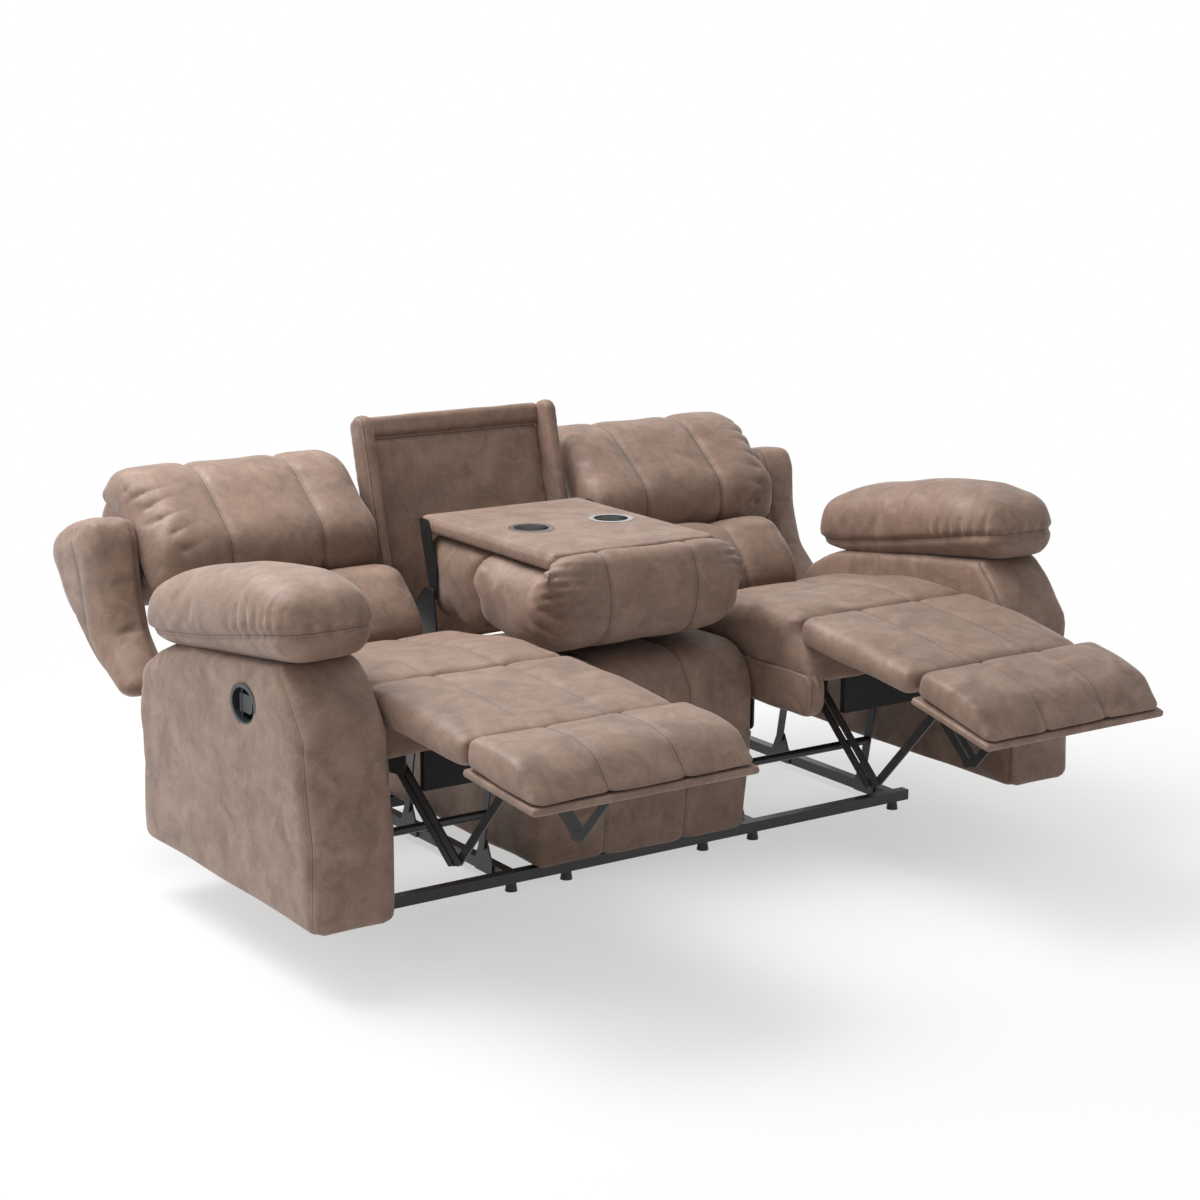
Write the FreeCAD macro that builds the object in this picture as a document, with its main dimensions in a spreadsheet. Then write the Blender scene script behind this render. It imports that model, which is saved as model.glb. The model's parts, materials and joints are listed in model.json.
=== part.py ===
import FreeCAD, Part
import math
import os

# Reclining sofa with a drop-down console.
# Three seats: the two end seats are recliners that glide forward as their
# footrests open, the middle seat is fixed and its back folds down as a table.
# X runs along the sofa, the front faces -Y, Z is up, and Y is zero at the
# front plane of the arms until the origin is moved to the middle at the end.
# The pose modelled is the open one: backs down, footrests out, table down.

# Driving sizes, in millimetres and degrees
SIZES = {
    "overall_width": 2020,
    "arm_width": 187,
    "arm_ground": 128,
    "arm_front": -25,
    "arm_rear": 785,
    "arm_shoulder": 650,
    "arm_tail": 585,
    "arm_step": 118,
    "arm_bend": 640,
    "pad_overhang": 20,
    "pad_height": 133,
    "pad_front": -78,
    "pad_rear": 838,
    "unit_inner": 300,
    "side_panel": 50,
    "seat_front": 80,
    "seat_top": 575,
    "seat_back_drop": 50,
    "seat_depth": 545,
    "seat_base": 440,
    "seat_box_bottom": 345,
    "nose_radius": 70,
    "deck_thick": 12,
    "apron_thick": 16,
    "apron_gap": 79.5,
    "rest_length": 400,
    "rest_thick": 64,
    "flap_length": 255,
    "flap_thick": 60,
    "board_thick": 18,
    "board_drop": 22,
    "board_length": 245,
    "closed_front": 65,
    "closed_height": 372,
    "flap_droop": 4,
    "flap_turn": 86,
    "rest_droop": 2.5,
    "rest_turn": 46.7,
    "rest_fold": 0.51,
    "right_short": 0.09,
    "link_sweep": 77.3,
    "lift_link_run": 200,
    "lift_link_rise": 223,
    "twin_link_gap": 32,
    "swing_length": 180,
    "open_lean": 10,
    "shut_lean": 55,
    "base_pivot_height": 85,
    "front_pivot": 420,
    "rear_pivot": 750,
    "plate_thick": 4,
    "layer_pitch": 5,
    "link_width": 20,
    "pin_radius": 5,
    "pin_clearance": 0.05,
    "mount_offset": 57,
    "foot_height": 20,
    "foot_radius": 14,
    "tube_size": 25,
    "rail_front": 330,
    "rail_rear": 960,
    "rail_overrun": 41,
    "inner_mount_gap": 36,
    "outer_mount_gap": 56,
    "middle_foot": 190,
    "cross_tube_radius": 10,
    "cross_tube_reach": 75,
    "back_pivot_y": 740,
    "back_pivot_z": 400,
    "back_lean": 50,
    "upright_lean": 14,
    "back_height": 620,
    "back_thick": 110,
    "back_start": 100,
    "wing_step": 130,
    "wing_thick": 120,
    "shoulder_start": 360,
    "lumbar_start": 55,
    "lumbar_end": 300,
    "lumbar_thick": 112,
    "head_end": 668,
    "middle_gap": 4,
    "middle_front": 285,
    "middle_rear": 1012,
    "middle_base": 400,
    "middle_top": 488,
    "middle_seat_rear": 800,
    "console_half": 232,
    "console_top": 745,
    "console_front": 330,
    "console_rear": 900,
    "console_board": 43,
    "console_core": 34,
    "console_bottom": 508,
    "console_nose": 262,
    "console_pivot_y": 830,
    "console_pivot_z": 565,
    "console_swing": 105,
    "niche_gap": 196,
    "console_gap": 12,
    "niche_wall": 36,
    "niche_depth": 50,
    "niche_panel": 20,
    "niche_top": 945,
    "cup_spacing": 220,
    "cup_y": 600,
    "cup_radius": 40,
    "cup_depth": 66,
    "cup_wall": 1.5,
    "cup_flange": 53,
    "lever_y": 255,
    "lever_z": 540,
    "bezel_length": 112,
    "bezel_height": 88,
    "bezel_rim": 9,
    "bezel_proud": 5,
    "bezel_depth": 30,
    "seat_gap": 2,
    "back_room": 4,
    "body_gap": 2,
    "lever_turn": 35,
    "lever_pin": 3,
}

# Sizes that follow from the ones above, as formulas of the sheet
FOLLOWING = {
    "inner_rail": "=unit_inner + inner_mount_gap",
    "outer_rail": "=overall_width / 2 - arm_width - outer_mount_gap",
    "rail_half": "=outer_rail + rail_overrun",
    "apron_half": "=(outer_rail - inner_rail) / 2 - apron_gap",
    "wing_inner": "=overall_width / 2 - wing_step",
    "middle_half": "=unit_inner - middle_gap",
    "niche_inner": "=console_half + console_gap",
}

doc = FreeCAD.newDocument("sofa")
sheet = doc.addObject("Spreadsheet::Sheet", "Sizes")
for row, (alias, value) in enumerate({**SIZES, **FOLLOWING}.items(), start=1):
    sheet.set("A%d" % row, alias)
    sheet.set("B%d" % row, str(value))
    sheet.setAlias("B%d" % row, alias)
doc.recompute()


class Values:
    """Reads a size from the sheet by its alias."""

    def __getattr__(self, alias):
        return float(sheet.get(alias))


v = Values()
parts = []


def heading(degrees, length=1.0):
    """A step in the side plane, as (y, z): zero points back, ninety up."""
    angle = math.radians(degrees)
    return (length * math.cos(angle), length * math.sin(angle))


def plus(a, b):
    return (a[0] + b[0], a[1] + b[1])


def minus(a, b):
    return (a[0] - b[0], a[1] - b[1])


def turned(point, centre, degrees):
    """A point of the side plane turned about a centre."""
    c = math.cos(math.radians(degrees))
    s = math.sin(math.radians(degrees))
    d = minus(point, centre)
    return (centre[0] + c * d[0] - s * d[1], centre[1] + s * d[0] + c * d[1])


# Joint centres of one recliner unit, in the side plane
seat_hinge = (v.seat_front + v.nose_radius, v.seat_top - v.nose_radius)
board_hinge = (
    seat_hinge[0] - v.rest_length,
    v.seat_top - v.board_drop - v.board_thick - v.flap_thick - 10,
)
board_hinge_shut = (v.closed_front, v.closed_height)
chord = minus(board_hinge_shut, board_hinge)
chord_length = math.hypot(chord[0], chord[1])
chord_angle = math.degrees(math.atan2(chord[1], chord[0]))
reach_length = chord_length / (2 * math.sin(math.radians(v.link_sweep / 2)))
reach_start = chord_angle - 90 - v.link_sweep / 2
knee = plus(board_hinge, (v.lift_link_run, -v.lift_link_rise))
seat_plate_pin = minus(knee, heading(reach_start, reach_length))
twin_offset = heading(chord_angle, v.twin_link_gap)
knee_twin = plus(knee, twin_offset)
seat_plate_twin = plus(seat_plate_pin, twin_offset)
front_base_pin = (v.front_pivot, v.base_pivot_height)
rear_base_pin = (v.rear_pivot, v.base_pivot_height)
swing_step = heading(90 + v.open_lean, v.swing_length)
front_seat_pin = plus(front_base_pin, swing_step)
rear_seat_pin = plus(rear_base_pin, swing_step)
back_hinge = (v.back_pivot_y, v.back_pivot_z)
console_hinge = (v.console_pivot_y, v.console_pivot_z)


def on_back(along, behind):
    """A point of the side plane from its place on the leaning back."""
    up = heading(90 - v.back_lean, along)
    rear = heading(-v.back_lean, behind)
    return plus(back_hinge, plus(up, rear))


def on_niche(up, behind):
    """A point of the side plane from its place on the middle back frame."""
    lean = v.console_swing - 90
    rise = heading(90 - lean, up)
    rear = heading(-lean, behind)
    return plus(console_hinge, plus(rise, rear))


def rounded(corners):
    """Lines and arcs of a closed outline, each corner being (y, z, radius)."""
    count = len(corners)
    trims = []
    for i in range(count):
        here = corners[i]
        before = corners[i - 1]
        after = corners[(i + 1) % count]
        a = minus(before, here)
        b = minus(after, here)
        la = math.hypot(a[0], a[1])
        lb = math.hypot(b[0], b[1])
        cosine = (a[0] * b[0] + a[1] * b[1]) / (la * lb)
        half = math.acos(max(-1.0, min(1.0, cosine))) / 2
        reach = min(here[2] / math.tan(half), 0.48 * la, 0.48 * lb)
        radius = reach * math.tan(half)
        start = (here[0] + a[0] / la * reach, here[1] + a[1] / la * reach)
        end = (here[0] + b[0] / lb * reach, here[1] + b[1] / lb * reach)
        bisector = (a[0] / la + b[0] / lb, a[1] / la + b[1] / lb)
        size = math.hypot(bisector[0], bisector[1])
        apex = radius / math.sin(half) - radius
        middle = (
            here[0] + bisector[0] / size * apex,
            here[1] + bisector[1] / size * apex,
        )
        trims.append((start, middle, end, radius))
    edges = []
    for i in range(count):
        start, middle, end, radius = trims[i]
        if radius > 0.01:
            edges.append(Part.Arc(flat(start), flat(middle), flat(end)))
        following = trims[(i + 1) % count][0]
        if math.hypot(following[0] - end[0], following[1] - end[1]) > 0.01:
            edges.append(Part.LineSegment(flat(end), flat(following)))
    return edges


def flat(point):
    return FreeCAD.Vector(point[0], point[1], 0)


def bar_outline(first, second, width):
    """A straight link with round ends about two pins."""
    half = width / 2
    run = minus(second, first)
    length = math.hypot(run[0], run[1])
    along = (run[0] / length, run[1] / length)
    side = (-along[1] * half, along[0] * half)
    tip = (along[0] * half, along[1] * half)
    a = plus(first, side)
    b = plus(second, side)
    c = minus(second, side)
    d = minus(first, side)
    return [
        Part.LineSegment(flat(a), flat(b)),
        Part.Arc(flat(b), flat(plus(second, tip)), flat(c)),
        Part.LineSegment(flat(c), flat(d)),
        Part.Arc(flat(d), flat(minus(first, tip)), flat(a)),
    ]


def plane_of(body, role):
    for item in body.Origin.OriginFeatures:
        if item.Role == role:
            return item
    raise ValueError(role)


def span(side, near, far):
    """The low X and the width, as expressions, of a strip near..far out."""
    if side > 0:
        return "%s" % near, "(%s) - (%s)" % (far, near)
    return "-(%s)" % far, "(%s) - (%s)" % (far, near)


def extrusion(name, edges, low, width, holes=()):
    """A body padded along X from an outline in the side plane."""
    body = doc.addObject("PartDesign::Body", name)
    body.Label = name + "_solid"
    sketch = body.newObject("Sketcher::SketchObject", name + "_outline")
    sketch.AttachmentSupport = [(plane_of(body, "YZ_Plane"), "")]
    sketch.MapMode = "FlatFace"
    sketch.addGeometry(list(edges), False)
    for centre, radius in holes:
        circle = Part.Circle(flat(centre), FreeCAD.Vector(0, 0, 1), radius)
        sketch.addGeometry(circle, False)
    sketch.setExpression("AttachmentOffset.Base.z", low)
    pad = body.newObject("PartDesign::Pad", name + "_pad")
    pad.Profile = sketch
    pad.setExpression("Length", width)
    body.Tip = pad
    return body


def pin(name, centre, radius, low, length):
    """A round bar along X."""
    rod = doc.addObject("Part::Cylinder", name)
    rod.setExpression("Radius", str(radius))
    rod.setExpression("Height", length)
    rod.setExpression("Placement.Base.x", low)
    rod.Placement.Base.y = centre[0]
    rod.Placement.Base.z = centre[1]
    rod.Placement.Rotation = FreeCAD.Rotation(FreeCAD.Vector(0, 1, 0), 90)
    return rod


def block(name, x_low, x_size, y_low, y_size, z_low, z_size):
    """A box whose place and sizes are bound to the sheet."""
    box = doc.addObject("Part::Box", name)
    box.setExpression("Length", x_size)
    box.setExpression("Width", y_size)
    box.setExpression("Height", z_size)
    box.setExpression("Placement.Base.x", x_low)
    box.setExpression("Placement.Base.y", y_low)
    box.setExpression("Placement.Base.z", z_low)
    return box


def fused(name, pieces):
    joined = doc.addObject("Part::MultiFuse", name)
    joined.Shapes = pieces
    return joined


def cut(name, base, tool):
    result = doc.addObject("Part::Cut", name)
    result.Base = base
    result.Tool = tool
    return result


def group(name, pieces):
    """Separate solids that share one sub-part."""
    bundle = doc.addObject("Part::Compound", name)
    bundle.Links = pieces
    return bundle


def keep(label, item, turn=None):
    """Names a sub-part; turn is (centre, degrees, shift) in the side plane."""
    item.Label = label
    if turn:
        centre, degrees, shift = turn
        rotation = FreeCAD.Rotation(FreeCAD.Vector(1, 0, 0), degrees)
        pivot = FreeCAD.Vector(0, centre[0], centre[1])
        move = FreeCAD.Vector(0, shift[0], shift[1])
        base = pivot - rotation.multVec(pivot) + move
        item.Placement = FreeCAD.Placement(base, rotation).multiply(item.Placement)
    parts.append(item)
    return item


def section(corners, x, centre, scale):
    """One outline of a cushion, drawn in towards a centre."""
    shrunk = []
    for y, z, radius in corners:
        shrunk.append((
            centre[0] + (y - centre[0]) * scale,
            centre[1] + (z - centre[1]) * scale,
            radius * scale,
        ))
    edges = [curve.toShape() for curve in rounded(shrunk)]
    wire = Part.Wire(Part.__sortEdges__(edges))
    return place_section(wire, x)


def place_section(wire, x):
    """Stands a flat outline up in the side plane at X."""
    turn = FreeCAD.Rotation(
        FreeCAD.Vector(0, 1, 0), FreeCAD.Vector(0, 0, 1), FreeCAD.Vector(1, 0, 0)
    )
    moved = wire.copy()
    moved.Placement = FreeCAD.Placement(FreeCAD.Vector(x, 0, 0), turn)
    return moved


# Share of the width, and how full the cushion is there: three sewn columns
COLUMNS = [
    (0.0, 0.90), (0.17, 1.0), (0.333, 0.975), (0.5, 1.0),
    (0.667, 0.975), (0.83, 1.0), (1.0, 0.90),
]
PLAIN = [(0.0, 0.88), (0.12, 0.985), (0.5, 1.0), (0.88, 0.985), (1.0, 0.88)]


def cushion(name, corners, centre, low, high, fullness):
    """A soft pad: outlines drawn in at the ends and at the sewn channels."""
    wires = []
    for share, scale in fullness:
        x = low + (high - low) * share
        wires.append(section(corners, x, centre, scale))
    feature = doc.addObject("Part::Feature", name)
    feature.Shape = Part.makeLoft(wires, True, True)
    return feature


def ends(side, near, far):
    return (near, far) if side > 0 else (-far, -near)


def layer(side, rail, inward, q):
    """Expression for X at a depth q from a rail towards the seat's middle."""
    sign = "+" if inward > 0 else "-"
    return "(Sizes.%s %s (%s))" % (rail, sign, q)


def layer_span(side, rail, inward, q_low, q_high):
    a = layer(side, rail, inward, q_low)
    b = layer(side, rail, inward, q_high)
    return span(side, a, b) if inward > 0 else span(side, b, a)


# Depths of the mechanism's layers from the rail's centre
HALF_TUBE = "Sizes.tube_size / 2"
LUG = (HALF_TUBE, HALF_TUBE + " + Sizes.plate_thick")


def stacked(steps, start=HALF_TUBE):
    """The layer that lies a number of pitches outside the lug."""
    low = "%s + %d * Sizes.layer_pitch" % (start, steps)
    return (low, low + " + Sizes.plate_thick")


SWING = stacked(1)
SEAT_PLATE = stacked(2)
BACK_PLATE = stacked(3)
MOUNT = stacked(0, "Sizes.mount_offset")
REACH = stacked(1, "Sizes.mount_offset")
LIFT = stacked(2, "Sizes.mount_offset")
BRACKET = stacked(3, "Sizes.mount_offset")
RAILS = (("inner_rail", 1), ("outer_rail", -1))


def hole(centre):
    return (centre, v.pin_radius + v.pin_clearance)


def pin_through(name, centre, side, rail, inward, first, last):
    """A pin from the outer face of one layer to the far face of another."""
    low, length = layer_span(side, rail, inward, first[0], last[1])
    return pin(name, centre, "Sizes.pin_radius", low, length)


def arm(name, side):
    """One padded arm, its front stepped back towards the top."""
    z = v.arm_ground
    front = v.arm_front
    outline = rounded([
        (front, z, 14), (front, z + 190, 60), (0, z + 300, 60), (0, z + 390, 40),
        (v.arm_step - 52, v.arm_shoulder - 45, 30), (v.arm_step, v.arm_shoulder, 8),
        (v.arm_bend, v.arm_tail, 8), (v.arm_bend + 50, v.arm_tail - 20, 30),
        (v.arm_rear - 28, v.arm_tail - 61, 40), (v.arm_rear, v.arm_tail - 159, 60),
        (v.arm_rear - 25, z, 14),
    ])
    low, width = span(side, "Sizes.overall_width / 2 - Sizes.arm_width", "Sizes.overall_width / 2")
    body = extrusion(name + "_body", outline, low, width)
    recess = oval(name + "_recess", side, 6, "Sizes.bezel_depth", "0")
    keep(name, cut(name + "_cut", body, recess))


def oval(name, side, inset, depth, proud):
    """An upright oval plug about the lever, sunk into the arm's outer side."""
    centre = FreeCAD.Vector(v.lever_y, v.lever_z, 0)
    along = v.bezel_length / 2 - inset
    tall = v.bezel_height / 2 - inset
    face = "Sizes.overall_width / 2"
    low, width = span(side, "%s - %s" % (face, depth), "%s + %s" % (face, proud))
    return extrusion(name, [Part.Ellipse(centre, along, tall)], low, width)


def arm_pad(name, side):
    """The pillow that lies over the arm and bulges past its front."""
    base = v.arm_shoulder
    top = base + v.pad_height
    front = v.pad_front
    rear = v.pad_rear
    corners = [
        (v.arm_step, base, 10), (front + 26, base + 20, 40), (front, base + 78, 50),
        (front + 58, top - 10, 60), (140, top, 90), (336, top - 21, 200),
        (715, top - 106, 60), (rear, top - 165, 30), (rear, base - 60, 20),
        (v.arm_bend, v.arm_tail, 8),
    ]
    half = v.overall_width / 2
    low, high = ends(side, half - v.arm_width - v.pad_overhang, half + v.pad_overhang)
    keep(name, cushion(name, corners, (300, base + 20), low, high, PLAIN))


def lever_set(prefix, side):
    """The oval dish in the arm's side and the flip lever pinned across it."""
    rim = v.bezel_rim
    flange = oval(prefix + "bezel_flange", side, 0, "0", "Sizes.bezel_proud")
    sunk = oval(prefix + "bezel_sunk", side, 6, "Sizes.bezel_depth", "0")
    dish = oval(
        prefix + "bezel_dish", side, rim,
        "(Sizes.bezel_depth - Sizes.plate_thick)", "Sizes.bezel_proud",
    )
    axle_y = v.lever_y + 26
    hole_x = side * (v.overall_width / 2 - 8)
    bore = upright(prefix + "bezel_bore", hole_x, axle_y, "Sizes.lever_pin + Sizes.pin_clearance", 36)
    shell = fused(prefix + "bezel_shell", [flange, sunk])
    opened = cut(prefix + "bezel_open", shell, dish)
    keep(prefix + "lever_bezel", cut(prefix + "bezel_cut", opened, bore))
    axle = upright(prefix + "lever_axle", hole_x, axle_y, "Sizes.lever_pin", 31)
    barrel = upright(prefix + "lever_barrel", hole_x, axle_y, "Sizes.lever_pin + 3", 19)
    outline = rounded([
        (v.lever_y - 22, v.lever_z - 19, 14), (v.lever_y - 22, v.lever_z + 19, 14),
        (axle_y, v.lever_z + 19, 1), (axle_y, v.lever_z - 19, 1),
    ])
    middle = "Sizes.overall_width / 2 - 8"
    low, width = span(side, middle + " - 3", middle + " + 3")
    paddle = extrusion(prefix + "lever_paddle", outline, low, width)
    keep(prefix + "release_lever", fused(prefix + "lever_fuse", [axle, barrel, paddle]))


def upright(name, x, y, radius, half_height):
    """A round bar that stands across the lever's dish."""
    rod = doc.addObject("Part::Cylinder", name)
    rod.setExpression("Radius", radius)
    rod.Height = 2 * half_height
    rod.Placement.Base = FreeCAD.Vector(x, y, v.lever_z - half_height)
    rod.Placement.Rotation = FreeCAD.Rotation(FreeCAD.Vector(0, 0, 1), 45)
    return rod


def seat_box(prefix, side):
    """Side panels, deck, apron and cushion of one end seat."""
    outer = "(Sizes.overall_width / 2 - Sizes.arm_width)"
    front = v.seat_front + 6
    bottom = v.seat_box_bottom
    deck_top = v.seat_base + v.deck_thick
    cheek = rounded([
        (front, bottom, 24), (front, deck_top - 20, 4), (front + 18, deck_top, 4),
        (v.seat_front + v.seat_depth, deck_top, 4), (v.seat_front + v.seat_depth + 30, bottom, 20),
    ])
    low, width = span(side, "Sizes.unit_inner", "(Sizes.unit_inner + Sizes.side_panel)")
    inner_panel = extrusion(prefix + "inner_panel", cheek, low, width)
    low, width = span(side, "(%s - Sizes.side_panel)" % outer, outer)
    outer_panel = extrusion(prefix + "outer_panel", cheek, low, width)
    keep(prefix + "seat_side_panels", group(prefix + "panels", [inner_panel, outer_panel]))
    low, width = span(
        side, "(Sizes.unit_inner + Sizes.side_panel)", "(%s - Sizes.side_panel)" % outer
    )
    deck = block(
        prefix + "deck", low, width, "Sizes.seat_front + 24",
        "Sizes.seat_depth - 4", "Sizes.seat_base", "Sizes.deck_thick",
    )
    keep(prefix + "seat_deck", group(prefix + "deck_board", [deck]))
    middle = "(Sizes.inner_rail + Sizes.outer_rail) / 2"
    low, width = span(side, "%s - Sizes.apron_half" % middle, "%s + Sizes.apron_half" % middle)
    apron = block(
        prefix + "apron", low, width, "Sizes.seat_front + 24", "Sizes.apron_thick",
        "Sizes.seat_box_bottom", "Sizes.seat_base - Sizes.seat_box_bottom",
    )
    keep(prefix + "seat_apron", group(prefix + "apron_cloth", [apron]))
    rear = v.seat_front + v.seat_depth
    hinge_y, hinge_z = seat_hinge
    corners = [
        (front + 24, deck_top, 6), (hinge_y - 2, hinge_z - 2, 10),
        (hinge_y + v.seat_gap, v.seat_top, 28), (hinge_y + 150, v.seat_top + 4, 200),
        (rear, v.seat_top - v.seat_back_drop, 36), (rear, deck_top, 16),
    ]
    low, high = ends(side, v.unit_inner, v.overall_width / 2 - v.arm_width)
    pad = cushion(prefix + "seat_soft", corners, (380, deck_top), low, high, COLUMNS)
    keep(prefix + "seat_cushion", pad)


def seat_plates(prefix, side):
    """The steel plates under the deck, with the pins that carry the links."""
    pieces = []
    top = v.seat_base
    hinge_y, hinge_z = back_hinge
    corner = v.link_width + 2
    for rail, inward in RAILS:
        outline = rounded([
            (front_seat_pin[0] - corner, top, 6), (v.seat_front + v.seat_depth, top, 20),
            (hinge_y + corner, hinge_z + 20, corner - 2), (hinge_y + corner, hinge_z - 30, 20),
            (rear_seat_pin[0] + corner, rear_seat_pin[1] - corner, corner - 4),
            (rear_seat_pin[0] - 90, rear_seat_pin[1] + 30, 60),
            (front_seat_pin[0] + 90, front_seat_pin[1] + 30, 60),
            (front_seat_pin[0] - corner, front_seat_pin[1] - corner, corner - 4),
        ])
        low, width = layer_span(side, rail, inward, *SEAT_PLATE)
        plate = extrusion(prefix + rail + "_seat_plate", outline, low, width)
        pins = [
            pin_through(prefix + rail + "_front_top_pin", front_seat_pin, side, rail, inward, SWING, SEAT_PLATE),
            pin_through(prefix + rail + "_rear_top_pin", rear_seat_pin, side, rail, inward, SWING, SEAT_PLATE),
            pin_through(prefix + rail + "_back_pin", back_hinge, side, rail, inward, SEAT_PLATE, BACK_PLATE),
        ]
        pieces.append(fused(prefix + rail + "_seat_plate_pins", [plate] + pins))
        outline = rounded([
            (seat_plate_pin[0] - corner, top, 8), (seat_plate_twin[0] + corner, top, 8),
            (seat_plate_twin[0] + corner, seat_plate_twin[1] - corner, corner - 6),
            (seat_plate_pin[0] - corner, seat_plate_pin[1] - corner, corner - 6),
        ])
        low, width = layer_span(side, rail, inward, *MOUNT)
        plate = extrusion(prefix + rail + "_rest_plate", outline, low, width)
        pins = [
            pin_through(prefix + rail + "_reach_pin", seat_plate_pin, side, rail, inward, MOUNT, REACH),
            pin_through(prefix + rail + "_twin_pin", seat_plate_twin, side, rail, inward, MOUNT, REACH),
        ]
        pieces.append(fused(prefix + rail + "_rest_plate_pins", [plate] + pins))
    keep(prefix + "mechanism_plates", group(prefix + "plates", pieces))


def swing_links(prefix, side):
    """The front and rear links that let the whole seat glide."""
    tube_centre = plus(front_base_pin, heading(90 + v.open_lean, v.cross_tube_reach))
    front = []
    rear = []
    for rail, inward in RAILS:
        low, width = layer_span(side, rail, inward, *SWING)
        for ends_of, base, top, bag in (
            ("front", front_base_pin, front_seat_pin, front),
            ("rear", rear_base_pin, rear_seat_pin, rear),
        ):
            link = extrusion(
                prefix + rail + "_" + ends_of + "_swing", bar_outline(base, top, v.link_width + 4),
                low, width, [hole(base), hole(top)],
            )
            bag.append(link)
    low, width = span(
        side, "(Sizes.inner_rail + %s)" % SWING[1], "(Sizes.outer_rail - (%s))" % SWING[1]
    )
    tube = pin(prefix + "torque_tube", tube_centre, "Sizes.cross_tube_radius", low, width)
    keep(prefix + "front_swing_links", fused(prefix + "front_swing", front + [tube]))
    keep(prefix + "rear_swing_links", group(prefix + "rear_swing", rear))


def footrest_links(prefix, side, closed):
    """The reach, twin and lift links on both sides of the footrest."""
    reach = []
    twin = []
    lift = []
    for rail, inward in RAILS:
        low, width = layer_span(side, rail, inward, *REACH)
        width_of = v.link_width
        reach.append(extrusion(
            prefix + rail + "_reach", bar_outline(seat_plate_pin, knee, width_of),
            low, width, [hole(seat_plate_pin), hole(knee)],
        ))
        twin.append(extrusion(
            prefix + rail + "_twin", bar_outline(seat_plate_twin, knee_twin, width_of),
            low, width, [hole(seat_plate_twin), hole(knee_twin)],
        ))
        low, width = layer_span(side, rail, inward, *LIFT)
        long_arm = extrusion(
            prefix + rail + "_lift_long", bar_outline(knee, board_hinge, width_of),
            low, width, [hole(board_hinge)],
        )
        short_arm = extrusion(
            prefix + rail + "_lift_short", bar_outline(knee, knee_twin, width_of), low, width
        )
        pins = [
            pin_through(prefix + rail + "_knee_pin", knee, side, rail, inward, REACH, LIFT),
            pin_through(prefix + rail + "_knee_twin_pin", knee_twin, side, rail, inward, REACH, LIFT),
        ]
        lift.append(fused(prefix + rail + "_lift", [long_arm, short_arm] + pins))
    turn = closed * v.link_sweep
    moved = minus(turned(knee, seat_plate_pin, turn), knee)
    keep(prefix + "reach_links", group(prefix + "reach", reach), (seat_plate_pin, turn, (0, 0)))
    keep(prefix + "twin_links", group(prefix + "twin", twin), (seat_plate_twin, turn, (0, 0)))
    keep(prefix + "lift_links", group(prefix + "lift", lift), (knee, 0, moved))
    return moved


def flap(prefix, side, closed, moved):
    """The padded front board with the brackets that carry it."""
    turn = v.flap_droop + closed * v.flap_turn
    where = (board_hinge, turn, moved)
    hinge_y, hinge_z = board_hinge
    board_z = hinge_z + v.board_drop
    brackets = []
    for rail, inward in RAILS:
        outline = rounded([
            (hinge_y - 10, board_z, 2), (hinge_y - 190, board_z, 4), (hinge_y - 190, board_z - 14, 8),
            (hinge_y - 70, hinge_z - 12, 30), (hinge_y + 12, hinge_z - 12, 11),
            (hinge_y + 12, hinge_z + 11, 11),
        ])
        low, width = layer_span(side, rail, inward, *BRACKET)
        plate = extrusion(prefix + rail + "_bracket", outline, low, width)
        rod = pin_through(prefix + rail + "_board_pin", board_hinge, side, rail, inward, LIFT, BRACKET)
        brackets.append(fused(prefix + rail + "_bracket_pin", [plate, rod]))
    keep(prefix + "footrest_brackets", group(prefix + "brackets", brackets), where)
    inner = v.unit_inner + v.body_gap
    outer = v.overall_width / 2 - v.arm_width - v.body_gap
    rear = hinge_y - 5
    outline = rounded([
        (rear, board_z, 4), (rear - v.board_length, board_z, 8),
        (rear - v.board_length, board_z + v.board_thick, 8), (rear, board_z + v.board_thick, 4),
    ])
    low, width = span(side, str(inner), str(outer))
    board = extrusion(prefix + "board", outline, low, width)
    keep(prefix + "footrest_board", board, where)
    low, high = ends(side, inner, outer)
    base = board_z + v.board_thick
    front = rear - v.board_length
    corners = [
        (rear, base, 8), (rear, base + v.flap_thick, 26), ((rear + front) / 2, base + v.flap_thick + 8, 180),
        (front, base + v.flap_thick - 8, 28), (front - 2, base, 12),
    ]
    soft = cushion(prefix + "flap_soft", corners, ((rear + front) / 2, base), low, high, COLUMNS)
    keep(prefix + "flap_pad", soft, where)


def rest_pad(prefix, side, closed):
    """The padded bridge between the seat and the front board."""
    hinge_y, hinge_z = seat_hinge
    length = v.rest_length * (1 - closed * (1 - v.rest_fold)) - v.seat_gap
    base = v.seat_top - v.rest_thick
    tip = hinge_y - length
    corners = [
        (hinge_y - v.seat_gap, base, 4), (hinge_y - v.seat_gap, v.seat_top, 26),
        ((hinge_y + tip) / 2, v.seat_top + 8, 260), (tip, v.seat_top - 2, 26), (tip, base, 20),
    ]
    low, high = ends(
        side, v.unit_inner + v.body_gap, v.overall_width / 2 - v.arm_width - v.body_gap
    )
    centre = ((hinge_y + tip) / 2, (base + v.seat_top) / 2)
    soft = cushion(prefix + "rest_soft", corners, centre, low, high, COLUMNS)
    turn = v.rest_droop + closed * v.rest_turn
    keep(prefix + "footrest_pad", soft, (seat_hinge, turn, (0, 0)))


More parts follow.
